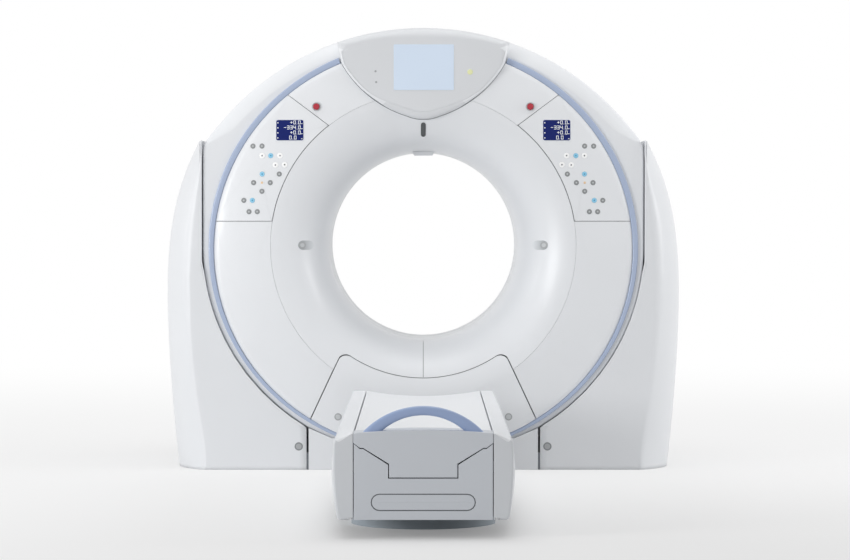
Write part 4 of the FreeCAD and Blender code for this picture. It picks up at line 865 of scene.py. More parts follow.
# displays, keys, stop buttons and laser windows
display = {
    "middle": 543, "low": 427, "width": 117, "height": 89, "corner": 9, "frame": 3,
    "rows": (("+0.0", 43), ("-334.0", 43), ("+0.0", 43), ("0.0", 26)),
    "firstRow": 69.5, "rowStep": 20.5, "figure": 13,
    "marks": ((49, 1.5, 6, 2.4), (-49, 5, 5, 4)), "frameRise": 1.2, "glassRise": 2.0, "figureRise": 2.2,
}
keys = {
    "radius": 10.5, "height": 1.7, "whiteMore": 1.5, "symbolRadius": 4.0, "indicator": (657, 258),
    "grey": [(694, 407), (657, 407), (586, 293), (691, 258), (623, 258), (657, 223), (731, 186),
             (710, 140), (676, 140)],
    "white": [(656, 368), (583, 368), (602, 330), (564, 331)],
    "cyan": [(621, 368), (656, 293), (696, 186)],
}
stop = {"x": 435, "z": 567, "front": -473.4, "radius": 13, "height": 3.4}
collar = {
    "count": 40, "foot": 2.0,
    "section": ((14.4, None), (14.4, -469.0), (15.0, -469.6), (17.2, -469.6), (18.2, -468.6), (18.4, None)),
}
laserWindow = {
    "left": -480, "right": 478, "z": 3, "width": 62, "height": 38, "corner": 18.9, "rise": 0.7,
    "eye": 14, "eyeRings": ((14, 1.6, 0.75), (9.5, 2.0, 0.6)),
}
upperDots = {"from": 455, "to": 495, "count": 5, "radius": 2.6, "rise": 1.0}


def bar(x, z, width, height, front, thick=0.5):
    # a flat bar on a surface: back pole, back and front rectangles, front pole
    corners = np.array([(-0.5, -0.5), (0.5, -0.5), (0.5, 0.5), (-0.5, 0.5)]) * (width, height)
    rows = []
    for share, depth in ((0, 0.3), (1, 0.3), (1, -thick), (0, -thick)):
        row = corners * share + (x, z)
        rows.append(atDepth(row, front(row[:, 0], row[:, 1]) + depth))
    return np.stack(rows), False, True


# strokes of a figure in a unit cell: middle across, middle up, width and height as shares of the cell
strokes = {
    "0": ((0.5, 1, 1, 0), (0.5, 0, 1, 0), (0, 0.5, 0, 1), (1, 0.5, 0, 1)),
    "3": ((0.5, 1, 1, 0), (0.5, 0, 1, 0), (0.55, 0.5, 0.9, 0), (1, 0.5, 0, 1)),
    "4": ((0, 0.72, 0, 0.56), (0.5, 0.45, 1, 0), (1, 0.5, 0, 1)),
    "+": ((0.5, 0.5, 1, 0), (0.5, 0.5, 0, 0.6)), "-": ((0.5, 0.5, 1, 0),), ".": ((0.5, 0, 0, 0),),
}


def figures(text, right, low, size, front):
    # A number as bars, set from its right end: each cell is 0.6 times as wide as it is high. Upright
    # bars are a little thinner, so that no corner of theirs lies on one of a level bar.
    bars = []
    pen = size * 0.17
    for sign in reversed(text):
        wide = size * (0.1 if sign == "." else 0.6)
        for across, up, width, height in strokes[sign]:
            long, thick = height * size + pen * (0.96 if height else 1.0), 0.45 if height else 0.5
            bars.append(bar(right - wide + across * wide, low + up * size, width * wide + pen, long, front,
                            thick))
        right -= wide + size * 0.4
    return bars


def displayPieces(name, side):
    # dark glass with round corners in a pale frame, with four rows of figures and a mark beside each
    middle, low, border = side * display["middle"], display["low"], display["frame"]
    width, height = display["width"], display["height"]
    outer = frameLoop(middle, low, width, height, display["corner"])
    inner = frameLoop(middle, low + border, width - 2 * border, height - 2 * border, display["corner"] - 2)
    rim = plate(outer, overFace(display["frameRise"]), edge=0.6, wall=3.0, steps=6)
    glass = plate(inner, overFace(display["glassRise"]), edge=0.5, wall=1.6, steps=6)
    makePiece(f"display{name}", [rim + (1,), glass + (0,)], "tilting_gantry",
              [finish["navyGlass"], finish["displayRim"]], [f"display_{name.lower()}"])
    bars, onGlass = [], overFace(display["figureRise"])
    for number, (text, right) in enumerate(display["rows"]):
        base = low + display["firstRow"] - display["rowStep"] * number
        bars += figures(text, middle + right, base, display["figure"], onGlass)
        for across, up, wide, high in display["marks"]:
            bars.append(bar(middle + across, base + up, wide, high, onGlass))
    makePiece(f"displayFigures{name}", bars, "tilting_gantry", finish["digit"])


def keyPieces(name, side):
    # each key is a dome with painted shade in a darker ring round its edge, and a small printed symbol on
    # its crown
    paints = ("keyGrey", "keyWhite", "keyBlue", "keyEdgeShade", "keySymbolPale", "keySymbolDark", "keySymbolBlue",
              "indicator")
    domes = []
    for number, colour in enumerate(("grey", "white", "cyan")):
        white = colour == "white"
        for x, z in keys[colour]:
            grid = dome(side * x, z, faceFront, keys["radius"] + keys["whiteMore"] * white, keys["height"])
            kinds = np.full(grid[0].shape[:2], number)
            # painted shade: the foot and edge rows in a darker colour, the pale grey for white keys
            kinds[:3] = paints.index("keySymbolPale" if white else "keyEdgeShade")
            domes.append(grid + (kinds,))
            symbol = dome(side * x, z, faceFront, keys["symbolRadius"], keys["height"] + 0.3, 0.5, 12)
            domes.append(symbol + (paints.index("keySymbolPale") + number,))
    lamp = dome(side * keys["indicator"][0], keys["indicator"][1], faceFront, 5.0, 1.2, 0.35, 16)
    domes.append(lamp + (paints.index("indicator"),))
    makePiece(f"keys{name}", domes, "tilting_gantry", [finish[paint] for paint in paints],
              [f"key_mat_{name.lower()}"])


def collarGrid(side):
    # the collar that a stop button sinks into: a ring of closed section, its foot let into the face
    angle = np.linspace(0, 2 * np.pi, collar["count"], endpoint=False)
    rows = []
    for radius, depth in collar["section"]:
        x, z = side * stop["x"] + radius * np.cos(angle), stop["z"] + radius * np.sin(angle)
        y = faceFront(x, z) + collar["foot"] if depth is None else depth
        rows.append(atDepth(np.column_stack([x, z]), y))
    return np.stack(rows), True, True


for name, side in (("Left", -1), ("Right", 1)):
    displayPieces(name, side)
    keyPieces(name, side)
    button = dome(side * stop["x"], stop["z"], level(stop["front"]), stop["radius"], stop["height"], 0.5)
    makePiece(f"stopButton{name}", [button], f"stop_{name.lower()}", finish["stopRed"],
              [f"stop_button_{name.lower()}"])
makePiece("stopCollars", [collarGrid(-1), collarGrid(1)], "tilting_gantry", finish["keySymbolPale"])


def scoopShadeMaterial():
    # The scooped window: painted shade of its recess, darkest at its outer end by the lens, and clearing to
    # the shell's tone towards the bore, along the distance from the middle plane, with a fine cloud that
    # breaks up the fade.
    material, tree = newMaterial("laserScoopPaintedShade")
    place = addNode(tree, "ShaderNodeTexCoord")
    parts = addNode(tree, "ShaderNodeSeparateXYZ", None, {0: place.outputs["Object"]})
    side = addNode(tree, "ShaderNodeMath", {"operation": "ABSOLUTE"}, {0: parts.outputs["X"]})
    share = addNode(tree, "ShaderNodeMapRange", {"From Min": 0.452, "From Max": 0.492},
                    {"Value": side.outputs[0]})
    grain = addNode(tree, "ShaderNodeTexNoise", {"Scale": 300.0, "Detail": 1.0},
                    {"Vector": place.outputs["Object"]})
    shift = addNode(tree, "ShaderNodeMapRange", {"To Min": -0.02, "To Max": 0.02},
                    {"Value": grain.outputs["Fac"]})
    mixed = addNode(tree, "ShaderNodeMath", {"operation": "ADD"},
                    {0: share.outputs["Result"], 1: shift.outputs["Result"]})
    tint = addNode(tree, "ShaderNodeMix", {
        "data_type": "RGBA", 6: toLinear("#e0e3e6"), 7: toLinear("#a4a8ab")}, {0: mixed.outputs[0]})
    skin = addNode(tree, "ShaderNodeBsdfPrincipled", {"Roughness": 0.35, "IOR": 1.5},
                   {"Base Color": tint.outputs[2]})
    addNode(tree, "ShaderNodeOutputMaterial", None, {"Surface": skin.outputs["BSDF"]})
    return material


windows = []
for side, middle in ((-1, laserWindow["left"]), (1, laserWindow["right"])):
    width, height = laserWindow["width"], laserWindow["height"]
    outline = frameLoop(middle, laserWindow["z"] - height / 2, width, height, laserWindow["corner"])
    windows.append(plate(outline, overFace(laserWindow["rise"]), edge=0.5, wall=3.0, steps=6) + (0,))
    eye = middle + side * laserWindow["eye"], laserWindow["z"]
    for kind, (radius, rise, rim) in enumerate(laserWindow["eyeRings"], 1):
        windows.append(dome(*eye, faceFront, radius, rise, rim) + (kind,))
makePiece("sideLaserWindows", windows, "tilting_gantry",
          [scoopShadeMaterial(), finish["capGrey"], finish["keySymbolPale"]],
          ["side_laser_windows"])
dots = [dome(0, z, overFace(upperDots["rise"]), upperDots["radius"], 0.6, 0.5, 12)
        for z in np.linspace(upperDots["from"], upperDots["to"], upperDots["count"])]
makePiece("upperWindowDots", dots, "tilting_gantry", finish["dotBlack"])
print("controls made")

# side covers of the stand, in plan at each level
stand = {
    "front": 440, "split": 477.5, "inner": 904, "flat": 200, "bow": 0.26, "foot": 0.5, "top": 1345,
    "topRound": 8, "topDrawn": 6, "wall": 8, "lip": 3.5, "upright": 907, "seamFoot": 172, "shaft": 60,
    "reachLevels": (0, 295, 462, 700, 900, 1005, 1115, 1180, 1260, 1345),
    "reach": (895, 927, 949, 963, 966, 957, 934, 921, 913, 911),
    "levels": (4, 330, 780, 1100, 1345), "outer": (1014, 1046, 1062, 1024, 927),
    "swingAt": (472, 540, 600, 660, 720, 770, 810, 845, 870, 885, 890, 892), "swingGap": 6,
    "easedAt": (896, 899, 902, 904), "eased": (449, 446.5, 444.2, 442),
    "baseHalf": 468.5, "baseTop": (372, 901), "coverWall": 8,
    "softFrom": 500, "softRun": 700, "softLeast": 10, "softMore": 26, "softShare": 0.45, "lipShare": 0.3,
}
reachAt = np.poly1d(np.polyfit(np.array(stand["reachLevels"]) / 1000, stand["reach"], 6))
outerAt = np.poly1d(np.polyfit(np.array(stand["levels"]) / 1000, stand["outer"], 4))


def swingTable():
    # Radius that the tilting body sweeps, over the distance from the middle plane:
    # hypot(D + 5, H sqrt(1 - (x / W)^2) + drop) + gap. Past it the wall eases out to its upright part.
    x = np.array(stand["swingAt"], float)
    fall = casing["bowlHeight"] * np.sqrt(1 - (x / gantry["bodyHalfWidth"]) ** 2) + gantry["ovalDrop"]
    radius = np.hypot(gantry["bodyHalfDepth"] + 5, fall) + stand["swingGap"]
    return np.append(x, stand["easedAt"]), np.append(radius, stand["eased"])


swingX, swingR = swingTable()


def wallAcross(y, z):
    # where the cover's inner wall stands at a depth and a height: the swing table read backwards
    swept = np.hypot(y, axisHeight - z)
    across = np.interp(swept, swingR[::-1], swingX[::-1])
    return np.where(z > stand["upright"], stand["inner"], across)


def blend(before, corner, after, count=6):
    # quadratic curve that rounds a corner: (1 - t)^2 A + 2 t (1 - t) S + t^2 B
    t = np.linspace(0, 1, count)[:, None]
    before, corner, after = (np.array(point, float) for point in (before, corner, after))
    return (1 - t) ** 2 * before + 2 * t * (1 - t) * corner + t ** 2 * after


def evenRun(run, count):
    # points at even distances along a run of points
    reached = np.concatenate([[0], np.cumsum(np.linalg.norm(np.diff(run, axis=0), axis=1))])
    even = np.linspace(0, reached[-1], count)
    return np.stack([np.interp(even, reached, run[:, 0]), np.interp(even, reached, run[:, 1])], 1)


def coverLoop(z, drawn):
    # One level of the right cover in plan: lip at the seam, flat front, rounded corner, bowed side,
    # flat side and the same behind. The bow is an arc through both ends of the side, with a rise that is
    # a share of its width, and drawn makes the loop smaller at the rounded top.
    front, flatEnd = stand["front"] - drawn, stand["flat"]
    reach, outer = reachAt(z / 1000) - drawn * 0.5, outerAt(z / 1000) - drawn
    seamed = z > stand["seamFoot"]
    seam = float(wallAcross(stand["front"], z)) if seamed else stand["split"]
    across, length = outer - reach, front - flatEnd
    rise = max(across, 6) * stand["bow"]
    arc = (across ** 2 + length ** 2) / (rise * 8) + rise / 2
    side = arcBetween((reach, -front), (outer, -flatEnd), arc, 9)
    corner = side[0]
    higher = np.clip((z - stand["softFrom"]) / stand["softRun"], 0, 1)
    soft = min(stand["softLeast"] + stand["softMore"] * higher, (reach - seam) * stand["softShare"])
    side = side[np.linalg.norm(side - corner, axis=1) > soft * 1.3]
    softCorner = blend(corner - [soft, 0], corner, side[0], 8)
    rounded = min(stand["lip"], (reach - seam) * stand["lipShare"])
    lipStart = float(wallAcross(front - rounded, z)) if seamed else seam, rounded - front
    lip = blend(lipStart, (seam, -front), (seam + rounded, -front))
    flatRun = lip[-1] + np.linspace(0, 1, 16)[1:-1, None] * (softCorner[0] - lip[-1])
    half = np.concatenate([lip, flatRun, softCorner, evenRun(side, 24)[1:]])
    if not seamed:
        half[:len(lip)] = [seam, -front]
    middle = np.column_stack([np.full(7, outer), np.linspace(-flatEnd, flatEnd, 9)[1:-1]])
    return np.concatenate([half, middle, half[::-1] * [1, -1]])


def coverWall(z, halfY):
    # inner wall at one level, from the rear edge to the front edge
    y = np.linspace(halfY, -halfY, 45)[1:-1]
    return np.column_stack([wallAcross(y, np.full(43, float(z))), y])


def coverGrids():
    # lower skirt, outer surface only, and upper shell with its inner wall. The top is a quarter round,
    # up by R sin t and drawn in by D (1 - cos t).
    turned = np.radians([30, 60, 90])
    shoulder = stand["top"] - stand["topRound"]
    low = np.linspace(stand["foot"], stand["seamFoot"], 12)
    upright = np.linspace(stand["seamFoot"], shoulder, 96)
    high = np.append(upright, shoulder + stand["topRound"] * np.sin(turned))
    drawn = np.append(0 * upright, stand["topDrawn"] * (1 - np.cos(turned)))
    lowRows = [atHeight(coverLoop(z, 0), z) for z in low]
    highRows = []
    for z, inwards in zip(high, drawn):
        loop = coverLoop(z, inwards)
        highRows.append(atHeight(np.concatenate([loop, coverWall(z, loop[-1, 1])]), z))
    return (np.stack(lowRows), False, False), (np.stack(highRows), False, True)


def openShaft(points, radius):
    # clears a round hole in the inner wall: points within it move out to its rim
    middle = points - [0, 0, axisHeight]
    away = np.hypot(middle[..., 1], middle[..., 2])
    inside = (away < radius) & (np.abs(points[..., 0]) < stand["inner"] + 1)
    grow = np.where(inside & (away > 1e-6), radius / np.maximum(away, 1e-6), 1.0)
    points = points.copy()
    points[..., 1] *= grow
    points[..., 2] = axisHeight + middle[..., 2] * grow
    return points, inside


def addWall(piece, thickness):
    # gives an open skin its wall, inwards from the modelled surface
    wall = piece.modifiers.new("wall", "SOLIDIFY")
    wall.thickness = thickness * mm
    wall.offset = -1
    wall.use_even_offset = False


lowGrid, highGrid = coverGrids()
for name, side in (("Left", -1), ("Right", 1)):
    grids = [lowGrid, highGrid] if side > 0 else [mirrored(lowGrid), mirrored(highGrid)]
    piece = makePiece(f"sideCover{name}", grids, "stand", finish["standShellShade"],
                      [f"side_cover_{name.lower()}"], sharp=35, polygons=[grids[1][0][-1]],
                      clear=lambda points: openShaft(points, stand["shaft"]))
    addWall(piece, stand["wall"])


def baseLoop():
    # front panel between the side covers: its top follows the circle that the body sweeps,
    # z = -sqrt(R^2 - y^2)
    half, floorLine = stand["baseHalf"], stand["foot"] - axisHeight
    flatHalf, lowest = stand["baseTop"]
    x = np.linspace(-half, half, 120)
    radius = np.interp(np.abs(x), np.concatenate([[0, flatHalf], swingX]),
                       np.concatenate([[lowest, lowest], swingR]))
    top = np.column_stack([x, -np.sqrt(radius ** 2 - stand["front"] ** 2)])
    return joinRuns(top, [(half, floorLine)], [(-half, floorLine)])


def slab(loop, front, thick, edge=1.5, backwards=False):
    # A flat plate of any outline: wall and rounded edge as rows. The flat faces are left to its two end
    # polygons.
    rows = [(loop, thick)] + [(inset(loop, drawn), drop) for drawn, drop in roundEdge(edge, 6)]
    rows.append((inset(loop, edge + 0.8), 0.0))
    sign = -1 if backwards else 1
    return np.stack([atDepth(row, sign * (front + drop)) for row, drop in rows]), False, True


def ends(grid):
    # the two polygons that close a slab
    return [grid[0][0], grid[0][-1]]


for name, behind in (("Front", False), ("Rear", True)):
    panel = slab(baseLoop(), -stand["front"], stand["coverWall"], backwards=behind)
    makePiece(f"baseCover{name}", [panel], "stand", finish["standShellShade"],
              [f"base_cover_{name.lower()}"], polygons=ends(panel))


def capGrids(x, z, front, radius):
    # a screw cap: a shaded edge ring with a paler crown standing a little higher inside it
    return [dome(x, z, front, radius, 1.4, 0.8) + (1,), dome(x, z, front, radius * 0.72, 2.0, 0.6) + (0,)]


cap = {
    "cover": ((-509, -819), (507, -819)), "coverRadius": 17,
    "service": ((-348, -697), (348, -697)), "serviceRadius": 15,
}
onCover = level(-stand["front"])
coverCaps = [grid for x, z in cap["cover"] for grid in capGrids(x, z, onCover, cap["coverRadius"])]
makePiece("coverScrews", coverCaps, "stand", [finish["capGrey"], finish["capRim"]],
          ["cover_screws"])
serviceCaps = [grid for x, z in cap["service"] for grid in capGrids(x, z, faceFront, cap["serviceRadius"])]
makePiece("serviceCaps", serviceCaps, "tilting_gantry", [finish["keySymbolPale"], finish["capGrey"]],
          ["service_panel_caps"])
print("stand made")

# couch. Three stations along it, from foot to head, have its half width and the height of its rim.
couch = {
    "foot": 3000, "head": 760, "low": 62, "top": 344, "edge": 228, "stations": (3000, 2300, 760),
    "reach": (291, 316, 281), "brim": (281, 291), "high": (321, 332, 342), "corner": 15, "lip": 25,
    "brimRound": 14, "endRoll": 7, "wall": 6, "coverEdge": 225.0, "coverThick": 8,
    "cap": 2880, "capHalf": 227, "capHigh": 343, "capArc": 2600,
}
reachOfCouch = np.poly1d(np.polyfit(np.array(couch["stations"]) / 1000, couch["reach"], 2))
highOfCouch = np.poly1d(np.polyfit(np.array(couch["stations"]) / 1000, couch["high"], 2))


def couchSection(y, drawn):
    # Outer run of a side cover's section, from its lip at the bottom over the top to its inner edge,
    # then down along that edge with the same heights. The side swells out below the flange, whose
    # brim runs straight: a quadratic curve whose middle reaches the widest line. The third value is
    # the range of points that lie on the brim and the flange.
    out, high = reachOfCouch(y / 1000) - drawn, highOfCouch(y / 1000) - drawn
    low, top = couch["low"] + drawn, couch["top"] - drawn * 0.4
    corner, edge, brimRound = couch["corner"], couch["edge"], couch["brimRound"]
    foot = blend((out - corner - 10, low), (out - corner + 3, low), (out - corner + 4.5, low + 16))
    brim = np.interp(y, [couch["head"], couch["foot"]], couch["brim"]) - drawn
    swell = (4 * out - foot[-1, 0] - brim) / 2, (foot[-1, 1] + high - brimRound) / 2
    side = blend(foot[-1], swell, (brim, high - brimRound), 9)[1:-1]
    shoulder = blend((brim, high - brimRound), (brim, high + 3), (brim - brimRound, high + 2), 8)
    flange = np.linspace(shoulder[-1], [edge + 3, top], 9)[1:-1]
    rim = blend((edge + 3, top), (edge, top), (edge, top - 3), 5)
    below = np.concatenate([[[out - corner - couch["lip"], low]], foot, side])
    outer = np.concatenate([below, shoulder, flange, rim])
    inner = np.column_stack([np.full(len(outer), edge), np.minimum(outer[:, 1], outer[-1, 1])])[::-1]
    return outer, inner, (len(below) + 5, len(outer))


def acrossAt(section, y):
    # a section of (x, z) points at one depth
    return np.column_stack([section[:, 0], np.full(len(section), float(y)), section[:, 1]])


def couchSideGrids():
    # Rows along the couch with rounded edges at both ends, and ruled end faces, x = e + s (x - e). The brim
    # and the flange take the table's paler colour, which paints the light on these upward faces.
    roll, foot, head = couch["endRoll"], couch["foot"], couch["head"]
    rounded = roundEdge(roll, 6)
    stations = [(foot - further, drawn) for further, drawn in rounded]
    stations += [(y, 0) for y in np.linspace(foot - roll - 4, head + roll + 4, 40)]
    stations += [(head + further, drawn) for further, drawn in rounded[::-1]]
    rows, endFaces = [], []
    for y, drawn in stations:
        outer, inner, paintedLightRange = couchSection(y, drawn)
        rows.append(acrossAt(np.concatenate([outer, inner]), -y))
    for y, drawn in (stations[0], stations[-1]):
        outer, inner, _ = couchSection(y, drawn)
        ruled = [inner[::-1] + share * (outer - inner[::-1]) for share in (0, 0.4, 0.8, 0.97, 1)]
        endFaces.append((np.stack([acrossAt(line, -y) for line in ruled]), False, False))
    kinds = np.zeros((len(rows), len(rows[0]) - 1), int)
    # painted light: the brim's and flange's faces in the table's paler colour
    kinds[:, slice(*paintedLightRange)] = 1
    return [(np.stack(rows), False, False, kinds)] + endFaces


sideGrids = couchSideGrids()
for name, side in (("Left", -1), ("Right", 1)):
    grids = sideGrids if side > 0 else [mirrored(grid) for grid in sideGrids]
    piece = makePiece(f"couchSide{name}", grids, "couch_body", [finish["couchShell"], finish["tableTop"]],
                      [f"couch_side_{name.lower()}"], sharp=35)
    addWall(piece, couch["wall"])

# the stepped vee between end cover and end cap, and the recess and plate below it
notch = {
    "keel": 110.7, "keelLow": 199, "keelHigh": 243.4, "shelfIn": 194.6, "shelfOut": 205, "shelf": 295,
    "edgeHigh": 311.5, "gap": 3,
}
endPlate = {"middle": 119, "width": 333.2, "height": 49.2, "corner": 24.5, "thick": 3.2, "recessMore": 6.8,
            "recessCorner": 27.9, "recessDepth": 3.7}


def notchRun(edge, gap):
    # stepped vee with its keel, from the left edge to the right
    keel = notch["keel"] + gap
    half = np.array([(keel, notch["keelLow"]), (keel, notch["keelHigh"]),
                     (notch["shelfIn"], notch["shelf"]), (notch["shelfOut"], notch["shelf"]),
                     (edge, notch["edgeHigh"])]) - [0, gap]
    run = np.concatenate([half[::-1] * [-1, 1], half])
    return np.concatenate([straight(a, b, 15) for a, b in zip(run[:-1], run[1:])]) - [0, axisHeight]


def endPlateLoop(more, corner):
    # the end plate's round-ended outline, larger all round by half of more
    width, height = endPlate["width"] + more, endPlate["height"] + more
    return frameLoop(0, endPlate["middle"] - axisHeight - height / 2, width, height, corner)


def endCoverOutline():
    # foot panel: the notch above, square corners below
    edge, low = couch["coverEdge"], couch["low"] - axisHeight
    return joinRuns(notchRun(edge, notch["gap"]), [(edge, low)], [(-edge, low)])


def withMiddle(loop):
    # adds the points where a closed outline crosses the middle plane
    after = np.roll(loop, -1, 0)
    crossing = np.nonzero(loop[:, 0] * after[:, 0] < 0)[0]
    share = loop[crossing, 0] / (loop[crossing, 0] - after[crossing, 0])
    between = loop[crossing] + share[:, None] * (after[crossing] - loop[crossing])
    between[:, 0] = 0.0
    return np.insert(loop, crossing + 1, between, 0)


def halves(loop):
    # splits such an outline at the middle plane: right part upwards, left part downwards
    middle = np.nonzero(np.abs(loop[:, 0]) < 1e-6)[0]
    low = middle[np.argmin(loop[middle, 1])]
    whole = np.roll(loop, -low, 0)
    high = np.nonzero(np.abs(whole[:, 0]) < 1e-6)[0]
    high = high[high > 0][0]
    return whole[:high + 1], np.concatenate([whole[high:], whole[:1]])


def holedFace(outer, hole):
    # a flat face with one hole as two polygons that meet in the middle plane
    outerRight, outerLeft = halves(outer)
    holeRight, holeLeft = halves(hole)
    return [np.concatenate([outerRight, holeRight[::-1]]), np.concatenate([outerLeft, holeLeft[::-1]])]


outline = withMiddle(endCoverOutline())
recess = withMiddle(endPlateLoop(endPlate["recessMore"], endPlate["recessCorner"]))
coverPlate = slab(outline, -couch["foot"], couch["coverThick"], 1.2)
rimRows = [(inset(recess, -1.6), 0.0), (inset(recess, -0.8), 0.0), (inset(recess, -0.23), 0.23),
           (recess, 0.8), (recess, endPlate["recessDepth"]), (inset(recess, 8.0), endPlate["recessDepth"])]
# painted shade: the groove's wall round the end plate and the floor beside it in dark grey
rimKinds = np.zeros((len(rimRows), len(recess)), int)
rimKinds[3:] = 1
rimGrid = np.stack([atDepth(loop, drop - couch["foot"]) for loop, drop in rimRows]), False, True, rimKinds
frontFaces = [atDepth(part, -couch["foot"]) for part in holedFace(inset(outline, 2.0), rimRows[0][0])]
makePiece("couchEndCover", [coverPlate, rimGrid], "couch_body", [finish["couchEndShade"], finish["seamShade"]],
          ["end_cover"], polygons=frontFaces + [coverPlate[0][0], rimGrid[0][-1]])
plateGrid = slab(endPlateLoop(0, endPlate["corner"]), 0.3 - couch["foot"], endPlate["thick"], 0.8)
makePiece("couchEndPlate", [plateGrid], "couch_body", finish["couchEndShade"], ["end_plate"],
          polygons=ends(plateGrid))

capHalf, capTop = couch["capHalf"], couch["capHigh"] - axisHeight
capArc = arcBetween((capHalf, capTop), (-capHalf, capTop), couch["capArc"], 15)
capLoop = joinRuns(notchRun(capHalf, 0), capArc)
capGrid = slab(capLoop, -couch["foot"], couch["foot"] - couch["cap"], 3.0)
makePiece("couchEndCap", [capGrid], "couch_top", finish["couchEndShade"], ["end_cap"],
          polygons=ends(capGrid))

# the table's section, with its hollow and its raised rims, and how its ends are drawn in
table = {
    "edge": 224.6, "high": 343, "arc": 1218, "rim": 5, "rimDeep": 6, "under": 285, "underHalf": 194.6,
    "step": (205, 297), "edgeLow": 313, "gap": 0.3, "roll": 3.0,
}


def cradleGrid():
    # hollowed top: one section, with rounded edges at both ends
    edge, high, rim = table["edge"], table["high"], table["rim"]
    hollow = arcBetween((-edge + rim, high), (edge - rim, high), table["arc"], 12)[::-1]
    rightRim = blend((edge, high - table["rimDeep"]), (edge, high), (edge - rim, high))
    right = np.array([(table["underHalf"], table["under"]), table["step"], (edge, table["edgeLow"])])
    left, leftRim = (right * [-1, 1])[::-1], (rightRim * [-1, 1])[::-1]
    loop = joinRuns(left[-1:], right, rightRim, hollow, leftRim, left[:-1])
    near, far, rounded = table["gap"] - couch["cap"], -couch["head"], roundEdge(table["roll"], 5)
    rows = [(inset(loop, drawn), near + further) for further, drawn in rounded]
    rows += [(loop, y) for y in np.linspace(near + 20, far - 20, 20)]
    rows += [(inset(loop, drawn), far - further) for further, drawn in rounded[::-1]]
    return np.stack([acrossAt(row, y) for row, y in rows]), False, True


tableGrid = cradleGrid()
makePiece("couchTable", [tableGrid], "couch_top", finish["tableTop"], ["cradle"], sharp=35,
          polygons=ends(tableGrid))

# the bow handle's two arcs stand on the end cap at the same height
handle = {
    "foot": 340, "outerHalf": 201, "outerRadius": 270.5, "innerHalf": 142.2, "innerRadius": 200.5,
    "y": -2970, "halfDepth": 14.5, "squareness": 0.7,
}


def handleGrid():
    # Bow handle: between two arcs, with a rounded section. Across the bow w cos t, in depth d sin t,
    # each to the power 0.7, which squares the section a little.
    share = np.linspace(0, 1, 72)

    def bowArc(half, radius):
        # one edge of the bow, with the same number of points on each
        arc = arcBetween((half, handle["foot"]), (-half, handle["foot"]), radius, 2)
        run = np.linspace(0, 1, len(arc))
        return np.stack([np.interp(share, run, arc[:, 0]), np.interp(share, run, arc[:, 1])], 1)

    outer = bowArc(handle["outerHalf"], handle["outerRadius"])
    inner = bowArc(handle["innerHalf"], handle["innerRadius"])
    t = np.linspace(0, 2 * np.pi, 28, endpoint=False)
    across, deep = (np.sign(wave) * np.abs(wave) ** handle["squareness"] for wave in (np.cos(t), np.sin(t)))
    middle, half = (outer + inner) / 2, (outer - inner) / 2
    points = middle[:, None] + across[None, :, None] * half[:, None]
    y = np.broadcast_to(handle["y"] + handle["halfDepth"] * deep, points.shape[:2])
    return np.stack([points[..., 0], y, points[..., 1]], -1), False, True


bow = handleGrid()
makePiece("pullHandle", [bow], "couch_top", finish["handle"], ["pull_handle"], sharp=60,
          polygons=ends(bow))

# floor base in plan, with the lift's well and the skirt that stands in it
plinth = {
    "half": 244, "foot": -2516, "footArc": 250, "head": -960, "cut": 40, "high": 56, "roll": 6, "rim": 7.0,
    "well": (216, -1966, -994), "wellFloor": 12, "corner": 6,
    "skirt": (180, -1930, -1030), "skirtHigh": 234, "skirtWall": 4,
}


def boxLoop(halfWidth, near, far, corner):
    # rectangle with round corners in plan
    return frameLoop(0, 0, 2 * halfWidth, far - near, corner) + [0, near]


def plinthPiece():
    # Floor base with its bowed foot end and rounded edge, the well in its top, and the skirt's open
    # tube. Gives the grids and the flat faces that close them.
    half, head, cutBack = plinth["half"], plinth["head"], plinth["cut"]
    high, floorLevel, top = plinth["high"], plinth["wellFloor"], plinth["skirtHigh"]
    footEnd = arcBetween((-half, plinth["foot"]), (half, plinth["foot"]), plinth["footArc"], 12)
    loop = withMiddle(joinRuns(footEnd, [(half, head - cutBack), (half - cutBack, head)],
                               [(cutBack - half, head), (-half, head - cutBack)]))
    rows = [atHeight(inset(loop, 1.0), 0), atHeight(loop, 1.0)]
    rows += [atHeight(inset(loop, drawn), high - down) for drawn, down in roundEdge(plinth["roll"], 7)]
    rim = inset(loop, plinth["rim"])
    rows.append(atHeight(rim, high))
    body = np.stack(rows), False, True
    well = withMiddle(boxLoop(*plinth["well"], plinth["corner"]))
    brink = inset(well, -1.5)
    wellRows = ((brink, high), (inset(well, -0.5), high - 0.5), (well, high - 1.5), (well, floorLevel))
    wellGrid = np.stack([atHeight(row, z) for row, z in wellRows]), False, True
    skirt, wall = boxLoop(*plinth["skirt"], plinth["corner"]), plinth["skirtWall"]
    tubeRows = ((0, floorLevel), (0, top - 1), (0.8, top),
                (wall - 0.8, top), (wall, top - 1), (wall, floorLevel))
    tube = np.stack([atHeight(inset(skirt, drawn), z) for drawn, z in tubeRows]), True, True
    faces = [atHeight(part, high) for part in holedFace(rim, brink)]
    return [body, wellGrid, tube], faces + [wellGrid[0][-1], body[0][0]]


plinthGrids, plinthFaces = plinthPiece()
makePiece("couchPlinth", plinthGrids, "stand", finish["darkBase"], ["couch_plinth"],
          sharp=35, polygons=plinthFaces)
print("couch made")

# floor, backdrop and lamps, in metres
stage = {
    "floorColour": "#f0f0f0", "floorSize": 60.0, "worldLevel": 0.515,
    "fadeMiddle": (0.0, -2.5, 0.0), "fadeStart": -1.0, "fadeReach": 12.0,
}


